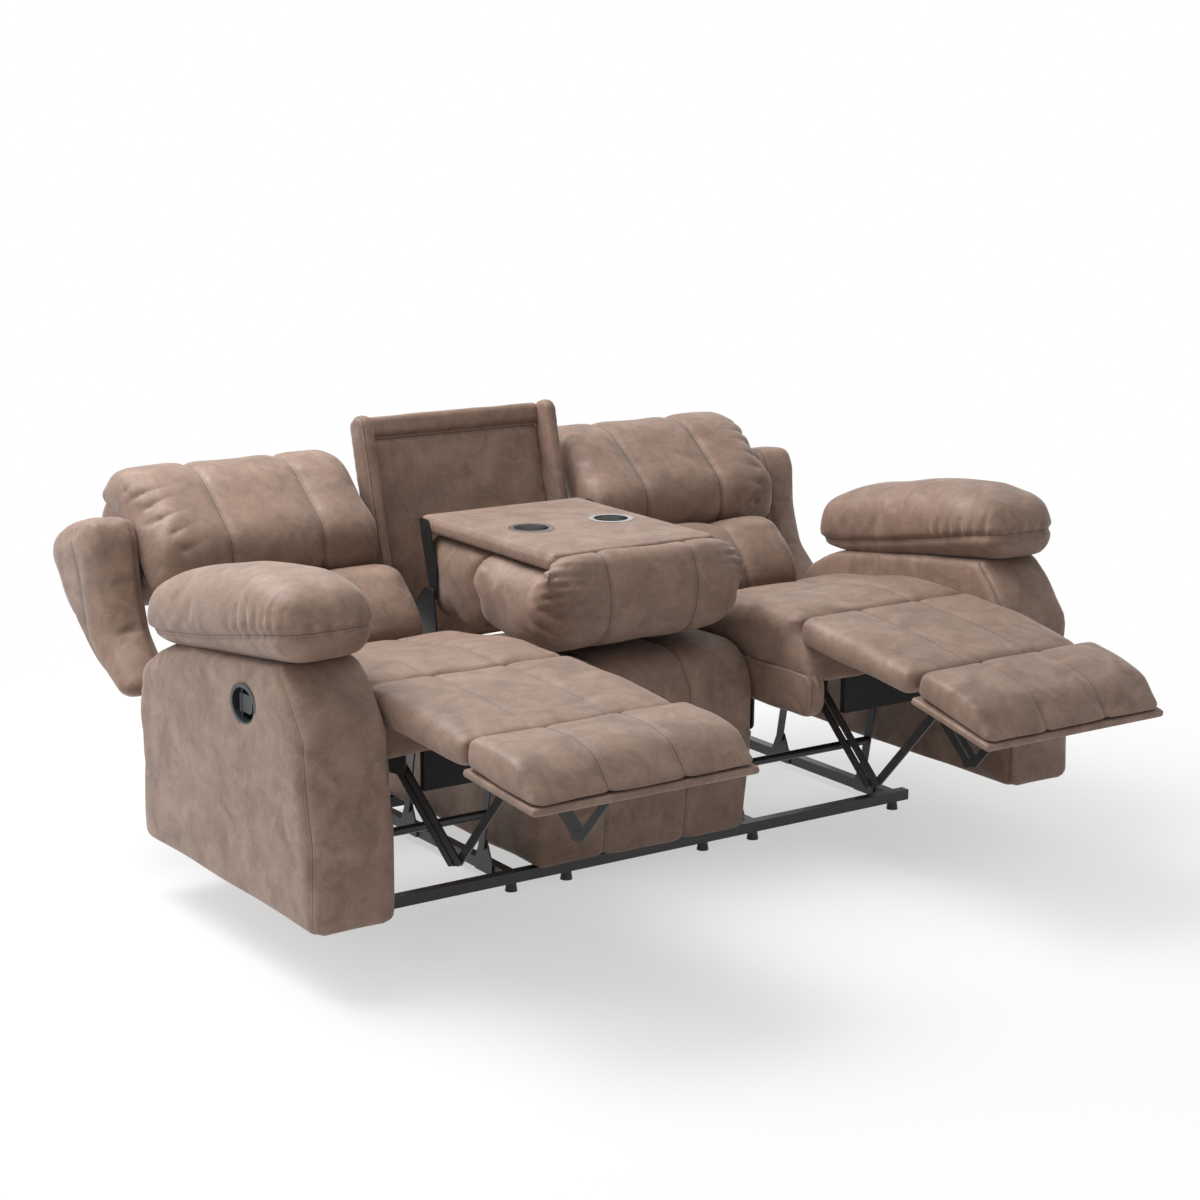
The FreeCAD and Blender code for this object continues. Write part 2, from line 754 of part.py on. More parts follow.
def back_unit(prefix, side):
    """The leaning back: frame, wing, two pillows and the hinge brackets."""
    inner = v.unit_inner + v.body_gap
    outer = v.overall_width / 2 - v.arm_width - v.pad_overhang - v.back_room
    start = v.back_start
    thick = v.back_thick
    height = v.back_height

    def local(points):
        return rounded([on_back(a, b) + (r,) for a, b, r in points])

    panel = extrusion(prefix + "back_panel", local([
        (start, 0, 6), (start, thick * 0.7, 30), (start + 200, thick, 120),
        (height, thick * 0.85, 50), (height, 0, 14),
    ]), *span(side, str(inner), str(outer)))
    shoulder = extrusion(prefix + "back_shoulder", local([
        (v.shoulder_start, 0, 6), (v.shoulder_start, thick, 30),
        (height, thick * 0.85, 50), (height, 0, 14),
    ]), *span(side, str(outer), "Sizes.wing_inner"))
    keep(prefix + "back_frame", fused(prefix + "back_fuse", [panel, shoulder]))
    wing = extrusion(prefix + "wing", local([
        (95, 60, 10), (110, 95, 20), (268, 147, 160), (461, 166, 160), (613, 132, 60),
        (565, 12, 50), (479, -100, 40), (430, -70, 30), (360, 0, 40), (290, 60, 40),
    ]), *span(side, "Sizes.wing_inner", "(Sizes.wing_inner + Sizes.wing_thick)"))
    keep(prefix + "back_wing", wing)
    low, high = ends(side, inner, outer)
    lumbar = [on_back(a, b) + (r,) for a, b, r in [
        (v.lumbar_start, 0, 8), (v.lumbar_start, -80, 40), (v.lumbar_start + 70, -v.lumbar_thick, 90),
        (v.lumbar_end - 60, -v.lumbar_thick, 60), (v.lumbar_end, -50, 24), (v.lumbar_end, 0, 4),
    ]]
    centre = on_back((v.lumbar_start + v.lumbar_end) / 2, 0)
    keep(prefix + "lumbar", cushion(prefix + "lumbar_soft", lumbar, centre, low, high, COLUMNS))
    low, high = ends(side, inner, v.wing_inner - v.body_gap)
    head = [on_back(a, b) + (r,) for a, b, r in [
        (v.lumbar_end + 4, -1, 4), (v.lumbar_end + 4, -60, 24), (v.lumbar_end + 60, -128, 70),
        (v.head_end - 90, -118, 120), (v.head_end, -50, 60), (v.head_end - 10, 40, 40),
        (height + 2, 60, 10), (height + 2, -1, 4),
    ]]
    centre = on_back((v.lumbar_end + v.head_end) / 2, -20)
    soft = cushion(prefix + "head_soft", head, centre, low, high, COLUMNS)
    room = extrusion(prefix + "head_room", local([
        (v.lumbar_end - 30, 0, 2), (v.lumbar_end - 30, thick + 20, 2),
        (height, thick + 20, 2), (height, 0, 14),
    ]), *span(side, "Sizes.unit_inner - 10", "Sizes.wing_inner + 10"))
    keep(prefix + "headrest", cut(prefix + "head_cut", soft, room))
    brackets = []
    for rail, inward in RAILS:
        outline = local([
            (start, 24, 2), (start, 74, 2), (-10, 22, 16), (-18, 4, 14), (-10, -20, 16), (20, -14, 20),
        ])
        x_low, width = layer_span(side, rail, inward, *BACK_PLATE)
        brackets.append(extrusion(
            prefix + rail + "_back_bracket", outline, x_low, width, [hole(back_hinge)]
        ))
    keep(prefix + "back_brackets", group(prefix + "back_bracket_pair", brackets))


def recliner(prefix, side, closed):
    """One end of the sofa, side -1 or 1, its footrest partly closed."""
    arm(prefix + "arm", side)
    arm_pad(prefix + "arm_pad", side)
    lever_set(prefix, side)
    seat_box(prefix, side)
    seat_plates(prefix, side)
    swing_links(prefix, side)
    moved = footrest_links(prefix, side, closed)
    flap(prefix, side, closed, moved)
    rest_pad(prefix, side, closed)
    back_unit(prefix, side)


def base_frame():
    """Square steel tubes on round feet, with lugs for the swing links."""
    pieces = []
    for name, y in (("front", "Sizes.rail_front"), ("rear", "Sizes.rail_rear")):
        pieces.append(block(
            name + "_tube", "-Sizes.rail_half", "2 * Sizes.rail_half",
            y + " - Sizes.tube_size / 2", "Sizes.tube_size",
            "Sizes.foot_height", "Sizes.tube_size",
        ))
    keep("cross_rails", group("cross_tubes", pieces))
    rails = []
    for side in (-1, 1):
        for rail, inward in RAILS:
            tag = ("left_" if side < 0 else "right_") + rail
            half = "Sizes.tube_size / 2"
            low, width = span(side, "(Sizes.%s - %s)" % (rail, half), "(Sizes.%s + %s)" % (rail, half))
            tube = block(
                tag + "_tube", low, width, "Sizes.rail_front + " + half,
                "Sizes.rail_rear - Sizes.rail_front - Sizes.tube_size",
                "Sizes.foot_height", "Sizes.tube_size",
            )
            joined = [tube]
            for place, centre in (("front", front_base_pin), ("rear", rear_base_pin)):
                foot = v.foot_height
                outline = rounded([
                    (centre[0] - 36, foot, 2), (centre[0] - 36, foot + v.tube_size, 8),
                    (centre[0] - 12, centre[1] + 13, 11), (centre[0] + 12, centre[1] + 13, 11),
                    (centre[0] + 36, foot + v.tube_size, 8), (centre[0] + 36, foot, 2),
                ])
                low, width = layer_span(side, rail, inward, *LUG)
                joined.append(extrusion(tag + "_" + place + "_lug", outline, low, width))
                joined.append(pin_through(
                    tag + "_" + place + "_pin", centre, side, rail, inward, LUG, SWING
                ))
            rails.append(fused(tag + "_rail", joined))
    keep("side_rails", group("side_tubes", rails))
    feet = []
    for y in (v.rail_front, v.rail_rear):
        for x in (v.middle_foot, v.inner_rail, v.outer_rail):
            for side in (-1, 1):
                foot = doc.addObject("Part::Cone", "foot_%d" % len(feet))
                foot.setExpression("Radius1", "Sizes.foot_radius")
                foot.setExpression("Radius2", "Sizes.foot_radius - 3")
                foot.setExpression("Height", "Sizes.foot_height")
                foot.Placement.Base = FreeCAD.Vector(side * x, y, 0)
                feet.append(foot)
    keep("feet", group("foot_group", feet))


def middle_seat():
    """The fixed middle seat: an upholstered box and its cushion."""
    outline = rounded([
        (v.middle_front, v.foot_height + v.tube_size, 10), (v.middle_front, v.middle_base, 20),
        (v.middle_rear, v.middle_base, 4), (v.middle_rear, v.foot_height + v.tube_size, 4),
    ])
    keep("middle_seat_box", extrusion("middle_box", outline, "-Sizes.middle_half", "2 * Sizes.middle_half"))
    front = v.middle_front
    rear = v.middle_seat_rear
    base = v.middle_base
    corners = [
        (front + 6, base, 10), (front - 2, base + 46, 40), (front + 110, v.middle_top, 120),
        (rear - 220, v.middle_top - 6, 200), (rear, base + 44, 40), (rear, base, 10),
    ]
    soft = cushion(
        "middle_soft", corners, ((front + rear) / 2, base), -v.middle_half, v.middle_half, COLUMNS
    )
    keep("middle_seat_cushion", soft)


def niche():
    """The fixed middle back: two padded sides and the panel between them."""
    front = v.niche_gap - v.niche_depth
    rear = v.niche_gap + v.niche_panel
    lean = math.radians(v.console_swing - 90)
    tall = (v.niche_top - v.console_pivot_z) / math.cos(lean) + v.niche_gap * math.tan(lean)

    def foot_of(behind):
        drop = v.console_pivot_z - v.middle_base - behind * math.sin(lean)
        return -drop / math.cos(lean)

    side_outline = [
        on_niche(foot_of(front), front) + (2,), on_niche(tall, front) + (24,),
        on_niche(tall, rear) + (24,), on_niche(foot_of(rear), rear) + (2,),
    ]
    sides = []
    for side in (-1, 1):
        low, width = span(side, "Sizes.niche_inner", "(Sizes.niche_inner + Sizes.niche_wall)")
        sides.append(extrusion("niche_side_%d" % (side + 2), rounded(side_outline), low, width))
    keep("niche_sides", group("niche_side_pair", sides))
    panel = rounded([
        on_niche(foot_of(v.niche_gap), v.niche_gap) + (2,), on_niche(tall - 10, v.niche_gap) + (6,),
        on_niche(tall - 10, rear) + (6,), on_niche(foot_of(rear), rear) + (2,),
    ])
    keep("niche_panel", extrusion("niche_board", panel, "-Sizes.niche_inner", "2 * Sizes.niche_inner"))
    plates = []
    for side in (-1, 1):
        low, width = span(
            side, "(Sizes.niche_inner - Sizes.plate_thick)", "Sizes.niche_inner"
        )
        y, z = console_hinge
        outline = rounded([
            (y - 16, z + 14, 12), (y + 20, z + 14, 12), (y + 130, z - 90, 8), (y + 140, v.middle_base, 2),
            (y - 40, v.middle_base, 2),
        ])
        plates.append(extrusion("console_bracket_%d" % (side + 2), outline, low, width, [hole(console_hinge)]))
    keep("console_brackets", group("console_bracket_pair", plates))


def console():
    """The folding middle back: board, cups, pillows and hinge arms."""
    top = v.console_top
    under = top - v.console_board
    half = v.console_half
    outline = rounded([
        (v.console_front, under, 14), (v.console_front, top, 16), (v.console_rear, top, 16),
        (v.console_rear, under, 14),
    ])
    slab = extrusion("console_slab", outline, "-Sizes.console_half", "2 * Sizes.console_half")
    core = block(
        "console_core_block", "-(Sizes.cup_spacing / 2 + 60)", "Sizes.cup_spacing + 120",
        "Sizes.cup_y - 100", "200", "Sizes.console_top - Sizes.console_board - Sizes.console_core",
        "Sizes.console_core",
    )
    board = fused("console_board_core", [slab, core])
    wells = []
    cups = []
    for side in (-1, 1):
        tag = "cup_%d" % (side + 2)
        well = cup_can(tag + "_well", side, "Sizes.cup_radius + Sizes.cup_wall", "Sizes.cup_depth", 0)
        wells.append(well)
        can = cup_can(tag + "_can", side, "Sizes.cup_radius + Sizes.cup_wall", "Sizes.cup_depth", 0)
        lip = cup_can(tag + "_lip", side, "Sizes.cup_flange", "0", 2)
        inside = cup_can(tag + "_inside", side, "Sizes.cup_radius", "Sizes.cup_depth - Sizes.cup_wall", 3)
        cups.append(cut(tag + "_shell", fused(tag + "_solid", [can, lip]), inside))
    keep("console_board", cut("console_board_cut", board, fused("cup_wells", wells)))
    keep("cup_holders", group("cup_pair", cups))
    bottom = v.console_bottom
    nose = v.console_nose
    split = v.cup_y + 20
    head = [
        (split, bottom + 20, 60), (split, under, 10), (v.console_front + 4, under, 10),
        (v.console_front - 40, top - 20, 30), (nose, top - 90, 80), (nose + 20, bottom + 40, 80),
        (nose + 150, bottom, 120),
    ]
    wide = v.niche_inner + v.niche_wall
    centre = ((split + nose) / 2, (under + bottom) / 2)
    soft = cushion("console_head_soft", head, centre, -wide, wide, PLAIN)
    keep("console_headrest", cut("console_head_cut", soft, core_room("head_room")))
    lumbar = [
        (split + 8, bottom + 20, 50), (split + 8, under, 10), (v.console_rear - 30, under, 20),
        (v.console_rear, under - 60, 40), (v.console_rear, bottom + 40, 50), (v.console_rear - 60, bottom, 50),
        (split + 80, bottom - 4, 60),
    ]
    narrow = v.console_half - 6
    centre = ((split + v.console_rear) / 2, (under + bottom) / 2)
    soft = cushion("console_lumbar_soft", lumbar, centre, -narrow, narrow, PLAIN)
    keep("console_lumbar", cut("console_lumbar_cut", soft, core_room("lumbar_room")))
    arms = []
    y, z = console_hinge
    for side in (-1, 1):
        low, width = span(side, "Sizes.console_half", "(Sizes.console_half + Sizes.plate_thick)")
        outline = rounded([
            (y - 14, z - 16, 13), (y - 20, z + 60, 30), (y + 20, top - 8, 8), (y + 60, top - 8, 8),
            (y + 52, under, 10), (y + 16, z + 20, 20), (y + 16, z - 16, 13),
        ])
        plate = extrusion("console_arm_%d" % (side + 2), outline, low, width)
        low, width = span(side, "Sizes.console_half", "Sizes.niche_inner")
        rod = pin("console_pin_%d" % (side + 2), console_hinge, "Sizes.pin_radius", low, width)
        arms.append(fused("console_arm_pin_%d" % (side + 2), [plate, rod]))
    keep("console_hinge_arms", group("console_arm_pair", arms))


def core_room(name):
    """The space that the pillows leave for the cup block."""
    return block(
        name, "-(Sizes.cup_spacing / 2 + 62)", "Sizes.cup_spacing + 124",
        "Sizes.cup_y - 102", "204",
        "Sizes.console_top - Sizes.console_board - Sizes.console_core - 2",
        "Sizes.console_core + 4",
    )


def cup_can(name, side, radius, depth, above):
    """An upright plug at one cup's place, from a depth to a height above."""
    can = doc.addObject("Part::Cylinder", name)
    can.setExpression("Radius", radius)
    can.setExpression("Height", "%s + %s" % (depth, above))
    can.setExpression("Placement.Base.x", "%d * Sizes.cup_spacing / 2" % side)
    can.setExpression("Placement.Base.y", "Sizes.cup_y")
    can.setExpression("Placement.Base.z", "Sizes.console_top - (%s)" % depth)
    return can


recliner("left_", -1, 0.0)
recliner("right_", 1, v.right_short)
base_frame()
middle_seat()
niche()
console()
doc.recompute()

# Moves the origin under the middle of the whole sofa
box = FreeCAD.BoundBox()
for item in parts:
    box.add(item.Shape.BoundBox)
shift = -(box.YMin + box.YMax) / 2
for item in parts:
    place = item.Placement
    item.Placement = FreeCAD.Placement(place.Base + FreeCAD.Vector(0, shift, 0), place.Rotation)
doc.recompute()

# Refuses to write anything while a feature or a sub-part is faulty
faults = [item.Name for item in doc.Objects if {"Invalid", "Error"} & set(item.State)]
for item in parts:
    if item.Shape.isNull() or not item.Shape.isValid():
        faults.append(item.Label)
if faults:
    raise RuntimeError("faulty: " + ", ".join(faults))

os.makedirs("parts", exist_ok=True)
for item in parts:
    item.Shape.exportStep("parts/%s.step" % item.Label)
    print("%-26s %9.1f cm3, %d solids" % (item.Label, item.Shape.Volume / 1000, len(item.Shape.Solids)))

points = {
    "seat_hinge": seat_hinge, "board_hinge": board_hinge, "knee": knee, "knee_twin": knee_twin,
    "seat_plate_pin": seat_plate_pin, "seat_plate_twin": seat_plate_twin,
    "front_base_pin": front_base_pin, "rear_base_pin": rear_base_pin,
    "front_seat_pin": front_seat_pin, "rear_seat_pin": rear_seat_pin,
    "back_hinge": back_hinge, "console_hinge": console_hinge,
}
for name, point in points.items():
    print("centre %s %.4f %.4f" % (name, point[0] + shift, point[1]))
print("overall %.1f x %.1f x %.1f mm" % (box.XLength, box.YLength, box.ZLength))
print("%d sub-parts" % len(parts))
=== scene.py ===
# %% [markdown]
# # A reclining sofa with a drop-down console
# The CAD model is loaded as a fixed frame. Every cushion is then remade as a soft
# upholstered piece in the space of its plain solid, and the steel parts keep their
# CAD shapes under better materials. X runs along the sofa, the front faces -Y.

# %% Load the frame
import json
import math

import bpy
import numpy as np
from mathutils import Matrix, Vector, noise


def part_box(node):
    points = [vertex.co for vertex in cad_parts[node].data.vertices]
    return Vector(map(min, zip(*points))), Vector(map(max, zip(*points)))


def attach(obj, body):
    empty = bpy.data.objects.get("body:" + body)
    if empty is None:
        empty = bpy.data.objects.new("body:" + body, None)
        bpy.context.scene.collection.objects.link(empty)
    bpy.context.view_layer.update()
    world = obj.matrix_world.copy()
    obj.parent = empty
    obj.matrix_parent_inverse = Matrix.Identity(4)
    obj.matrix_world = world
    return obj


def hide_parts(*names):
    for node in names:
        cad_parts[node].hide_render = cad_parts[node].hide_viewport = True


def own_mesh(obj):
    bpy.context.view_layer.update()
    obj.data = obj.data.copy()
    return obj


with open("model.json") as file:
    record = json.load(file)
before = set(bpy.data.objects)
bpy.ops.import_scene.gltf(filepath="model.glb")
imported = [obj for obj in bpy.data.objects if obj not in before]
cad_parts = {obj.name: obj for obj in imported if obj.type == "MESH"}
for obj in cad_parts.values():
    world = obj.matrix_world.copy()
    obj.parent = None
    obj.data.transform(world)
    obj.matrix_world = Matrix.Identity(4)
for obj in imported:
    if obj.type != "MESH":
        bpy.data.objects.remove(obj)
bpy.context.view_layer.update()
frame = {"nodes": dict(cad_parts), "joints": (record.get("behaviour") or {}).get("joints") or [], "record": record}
scene = bpy.context.scene
joint_place = {joint["name"]: Vector(joint["pos_m"]) for joint in frame["joints"]}

# %% [markdown]
# ## The camera
# A long lens from the front left, a little above the arms. A camera can be aimed by hand
# or by numbers. It is set by numbers here, a compass turn, a drop below level and a small
# roll, so that the same view can be had again. Its place is measured from the middle of
# the sofa's footprint.

# %% Place the camera
SENSOR = 36.0
LENS = 75.94
CAMERA_PLACE = Vector((-3.182, -4.533, 1.857))
CAMERA_TURN = -34.48
CAMERA_DROP = 12.73
CAMERA_ROLL = 0.432


def place_camera():
    """A camera that looks along a compass turn and a drop below level."""
    turn = math.radians(CAMERA_TURN)
    drop = math.radians(CAMERA_DROP)
    ahead = Vector((-math.sin(turn) * math.cos(drop), math.cos(turn) * math.cos(drop), -math.sin(drop)))
    lens = bpy.data.cameras.new("catalogue_camera")
    lens.sensor_width = SENSOR
    lens.lens = LENS
    camera = bpy.data.objects.new("catalogue_camera", lens)
    scene.collection.objects.link(camera)
    camera.rotation_mode = "QUATERNION"
    roll = Matrix.Rotation(math.radians(CAMERA_ROLL), 4, "Z")
    level = ahead.to_track_quat("-Z", "Y").to_matrix().to_4x4()
    camera.rotation_quaternion = (level @ roll).to_quaternion()
    camera.location = CAMERA_PLACE
    scene.camera = camera
    return camera


place_camera()
print("camera", LENS, "mm lens")

# %% [markdown]
# ## Modelling helpers
# Upholstery starts as the side view of a piece: a few corners, each with its own
# radius. That outline is filled and extruded to the width of the piece. A cushion could
# be sculpted instead, but then none of its sizes could be set. The side view is also what
# a sofa maker cuts first.


# %% Draw a rounded side view
def rounded(corners, step=0.35):
    """Points round an outline whose corners are (y, z, radius)."""
    points = []
    count = len(corners)
    for i, (y, z, radius) in enumerate(corners):
        here = Vector((y, z))
        before = Vector(corners[i - 1][:2]) - here
        after = Vector(corners[(i + 1) % count][:2]) - here
        half = before.angle(after) / 2
        reach = min(radius / math.tan(half), 0.48 * before.length, 0.48 * after.length)
        start = here + before.normalized() * reach
        end = here + after.normalized() * reach
        steps = max(1, round((math.pi - 2 * half) / step))
        centre = here + (before.normalized() + after.normalized()).normalized() * (
            reach / math.cos(half)
        )
        first = start - centre
        turn = (end - centre).angle_signed(first)
        for k in range(steps + 1):
            swing = Matrix.Rotation(turn * k / steps, 2)
            points.append(centre + swing @ first)
    return points


# %% Fill and extrude a side view
def clear_selection():
    """Operators act on what is selected, and the loaded nodes arrive selected."""
    bpy.ops.object.select_all(action="DESELECT")


def only(obj):
    clear_selection()
    obj.select_set(True)
    bpy.context.view_layer.objects.active = obj


def slab(name, corners, low, high):
    """A closed block: a side view filled and extruded from X low to X high."""
    outline = rounded(corners)
    clear_selection()
    bpy.ops.mesh.primitive_circle_add(vertices=len(outline), radius=0.1, fill_type="NGON")
    block = bpy.context.object
    block.name = name
    for vertex, point in zip(block.data.vertices, outline):
        vertex.co = (low, point.x, point.y)
    block.location = (0, 0, 0)
    bpy.ops.object.mode_set(mode="EDIT")
    bpy.ops.mesh.select_all(action="SELECT")
    bpy.ops.mesh.extrude_region_move(TRANSFORM_OT_translate={"value": (high - low, 0, 0)})
    bpy.ops.mesh.select_all(action="SELECT")
    bpy.ops.mesh.normals_make_consistent(inside=False)
    bpy.ops.object.mode_set(mode="OBJECT")
    return block


def apply_modifier(obj, kind, name, **settings):
    """Adds one modifier, sets it up and applies it at once."""
    modifier = obj.modifiers.new(name, kind)
    for key, value in settings.items():
        setattr(modifier, key, value)
    only(obj)
    bpy.ops.object.modifier_apply(modifier=name)


# %% Read and write the points of a mesh
def coordinates(obj):
    flat = np.zeros(len(obj.data.vertices) * 3)
    obj.data.vertices.foreach_get("co", flat)
    return flat.reshape(-1, 3)


def normals(obj):
    flat = np.zeros(len(obj.data.vertices) * 3)
    obj.data.vertices.foreach_get("normal", flat)
    return flat.reshape(-1, 3)


def set_coordinates(obj, places):
    obj.data.vertices.foreach_set("co", places.reshape(-1))
    obj.data.update()


# %% [markdown]
# ## Soft forms
# A drawn cushion looks like a box. A sewn one is a skin round foam: the skin is held at
# its seams and pushed out between them. So each block is remeshed into even squares,
# pinned where it is sewn or screwed down, and blown up a little by a cloth simulation.
# Moving the points by hand could do it too, but the simulation follows one rule for all.

# %% Fill a cushion by cloth pressure
FRAMES = 14


def fill_with_air(obj, pinned, pressure, cap):
    """Blows a closed skin up between its pinned points, by no more than the cap."""
    if cap == 0:
        return
    start = coordinates(obj)
    group = obj.vertex_groups.new(name="pinned")
    for index in np.nonzero(pinned(start))[0]:
        group.add([int(index)], 1.0, "REPLACE")
    cloth = obj.modifiers.new("skin", "CLOTH")
    cloth.settings.quality = 4
    cloth.settings.mass = 0.3
    cloth.settings.tension_stiffness = 12
    cloth.settings.compression_stiffness = 12
    cloth.settings.bending_stiffness = 0.6
    cloth.settings.use_pressure = True
    cloth.settings.uniform_pressure_force = pressure
    cloth.settings.effector_weights.gravity = 0
    cloth.settings.vertex_group_mass = "pinned"
    cloth.collision_settings.use_collision = False
    cloth.point_cache.frame_end = FRAMES
    for moment in range(1, FRAMES + 1):
        scene.frame_set(moment)
    graph = bpy.context.evaluated_depsgraph_get()
    blown = obj.evaluated_get(graph).to_mesh()
    flat = np.zeros(len(blown.vertices) * 3)
    blown.vertices.foreach_get("co", flat)
    moved = flat.reshape(-1, 3) - start
    length = np.linalg.norm(moved, axis=1, keepdims=True)
    share = np.minimum(1, cap / np.maximum(length, 1e-9))
    obj.evaluated_get(graph).to_mesh_clear()
    obj.modifiers.remove(cloth)
    obj.vertex_groups.remove(group)
    set_coordinates(obj, start + moved * share)
    scene.frame_set(1)


def even_skin(obj, voxel, passes):
    """Remeshes a block into even squares and eases its edges."""
    apply_modifier(obj, "REMESH", "squares", mode="VOXEL", voxel_size=voxel, use_smooth_shade=True)
    if passes:
        apply_modifier(obj, "SMOOTH", "eased", factor=0.5, iterations=passes)


# %% [markdown]
# ## Seams, pleats and creases
# A seam is a distance: every point of a cushion stores how far it lies from the nearest
# seam line. The mesh sinks a little there, and the fabric's material reads the same
# number to paint the shade of that groove as a dark line, with a row of stitches on each
# side of it. A second number has a sign for the side of the seam, so the line stays sharp
# between two points.
# Modelled threads would cost thousands of faces, and a painted image an unwrapping.


# %% Measure the distance to a seam
def side_distance(places, points):
    """Signed distance in the side plane from each place to a run of (y, z) points."""
    best = np.full(len(places), 9.0)
    sign = np.ones(len(places))
    along = np.zeros(len(places))
    walked = 0.0
    for a, b in zip(points, points[1:]):
        a = np.array(a)
        run = np.array(b) - a
        length = np.linalg.norm(run)
        share = np.clip(((places[:, 1:] - a) @ run) / length**2, 0, 1)
        gap = np.linalg.norm(places[:, 1:] - a - share[:, None] * run, axis=1)
        turn = run[0] * (places[:, 2] - a[1]) - run[1] * (places[:, 1] - a[0])
        nearer = gap < best
        best = np.where(nearer, gap, best)
        sign = np.where(nearer, np.where(turn < 0, -1.0, 1.0), sign)
        along = np.where(nearer, walked + share * length, along)
        walked += length
    return best * sign, along


# %% Press in the seams
NO_SEAM = 0.5  # a distance in metres that stands for no seam near


def sew(obj, lines, depth=0.004, width=0.007):
    """Sinks the skin along seam lines and stores their distance for the material."""
    places = coordinates(obj)
    nearest = np.full(len(places), NO_SEAM)
    along = np.zeros(len(places))
    for line in lines:
        gap, run = line(places)
        nearer = np.abs(gap) < np.abs(nearest)
        nearest = np.where(nearer, gap, nearest)
        along = np.where(nearer, run, along)
    dip = depth * np.exp(-((nearest / width) ** 2))
    set_coordinates(obj, places - normals(obj) * dip[:, None])
    for name, values in (("seam_gap", np.abs(nearest)), ("seam_side", nearest), ("seam_run", along)):
        layer = obj.data.attributes.new(name, "FLOAT", "POINT")
        layer.data.foreach_set("value", values.astype(np.float32))


# %% Lay out the seams of a piece
def across(x, where=None):
    """A seam in a plane of constant X, over the places that a test picks."""
    def line(places):
        gap = places[:, 0] - x
        if where is not None:
            gap = np.where(where(places), gap, NO_SEAM)
        return gap, places[:, 1] + places[:, 2]
    return line


def along_side(points, x, reach):
    """A seam that follows side-plane points on the skin near X, within a reach."""
    def line(places):
        gap, run = side_distance(places, points)
        near = np.abs(places[:, 0] - x) < reach
        return np.where(near, gap, NO_SEAM), run
    return line


def straight(start, end):
    """A seam along the straight line between two points of the skin."""
    def line(places):
        a = np.array(start)
        run = np.array(end) - a
        length = np.linalg.norm(run)
        share = np.clip((places - a) @ run / length**2, 0, 1)
        return np.linalg.norm(places - a - share[:, None] * run, axis=1), share * length
    return line


def beside(places, lines, reach):
    """True for the places that lie within a reach of any seam plane."""
    return np.min([np.abs(places[:, 0] - x) for x in lines], axis=0) < reach


# %% Gather, pleat and rumple the cloth
def gather(obj, spot, axis, reach, spacing, depth, facing, seed=0.0):
    """Pleats that fan out of a sewn spot: waves along an axis, fading with reach."""
    places = coordinates(obj)
    out = normals(obj)
    spot = Vector(spot)
    axis = np.array(Vector(axis).normalized())
    away = places - np.array(spot)
    gap = np.linalg.norm(away / np.array(reach), axis=1)
    fade = np.exp(-(gap**2) * 1.6)
    run = away @ axis
    wobble = np.array([noise.noise(Vector(p * 9) + Vector((seed, 0, 0))) for p in places])
    wave = np.cos(run / spacing * 2 * math.pi + wobble * 2.2 + seed)
    wave = np.where(wave > 0, wave * 0.7, wave)
    toward = np.clip(out @ np.array(Vector(facing).normalized()) * 1.6, 0, 1)
    set_coordinates(obj, places + out * (wave * fade * toward * depth)[:, None])


def pleats(obj, start, end, toward, count, reach, depth, seed=0):
    """Short tucks on one side of a seam: narrow valleys square to the line start-end."""
    places = coordinates(obj)
    out = normals(obj)
    start = np.array(start)
    run = np.array(end) - start
    length = np.linalg.norm(run)
    run = run / length
    side = np.array(Vector(toward).normalized())
    side = side - run * (side @ run)
    side = side / np.linalg.norm(side)
    offset = places - start
    along = offset @ run
    gap = offset @ side
    off = np.linalg.norm(offset - np.outer(along, run) - np.outer(gap, side), axis=1)
    drift = np.array([noise.noise(Vector(p * 7) + Vector((seed, seed, 0))) for p in places])
    beat = along / length * count + drift * 0.7
    tuck = np.floor(beat)
    length_of = 0.65 + 0.35 * np.sin(tuck * 2.4 + seed)
    valley = np.abs(np.sin(beat * math.pi)) ** 0.6 - 0.72
    fade = np.exp(-((np.maximum(gap, 0) / (reach * length_of)) ** 1.4))
    fade = fade * np.exp(-((np.minimum(gap, 0) / 0.012) ** 2))
    window = np.clip((along + 0.01) / 0.02, 0, 1) * np.clip((length + 0.01 - along) / 0.02, 0, 1)
    near = np.exp(-((off / 0.07) ** 4))
    set_coordinates(obj, places + out * (valley * fade * window * near * depth)[:, None])


def rumple(obj, size, depth, seed):
    """Low, slow unevenness that foam shows under any cover."""
    places = coordinates(obj)
    shift = Vector((seed * 3.1, seed * 1.7, seed))
    waves = np.array([noise.noise(Vector(p) / size + shift) for p in places])
    set_coordinates(obj, places + normals(obj) * (waves * depth)[:, None])


# %% Mirror and turn a finished piece
def mirrored(obj, name):
    """The same piece for the other end of the sofa, with its own mesh."""
    twin = obj.copy()
    twin.data = obj.data.copy()
    twin.name = name
    scene.collection.objects.link(twin)
    twin.data.transform(Matrix.Scale(-1, 4, (1, 0, 0)))
    twin.data.flip_normals()
    return twin


def turn_about(obj, centre, degrees, move=Vector((0, 0, 0))):
    """Turns a finished mesh in the side plane about a hinge, then moves it."""
    spin = Matrix.Rotation(math.radians(degrees), 4, "X")
    there = Matrix.Translation(centre)
    obj.data.transform(Matrix.Translation(move) @ there @ spin @ there.inverted())


# %% [markdown]
# ## Node helpers
# Effects that several finishes share are shader groups with named inputs and outputs.
# Nodes can be placed by hand in the editor. Short helpers make them here, so that a
# finish reads as a few lines of text.


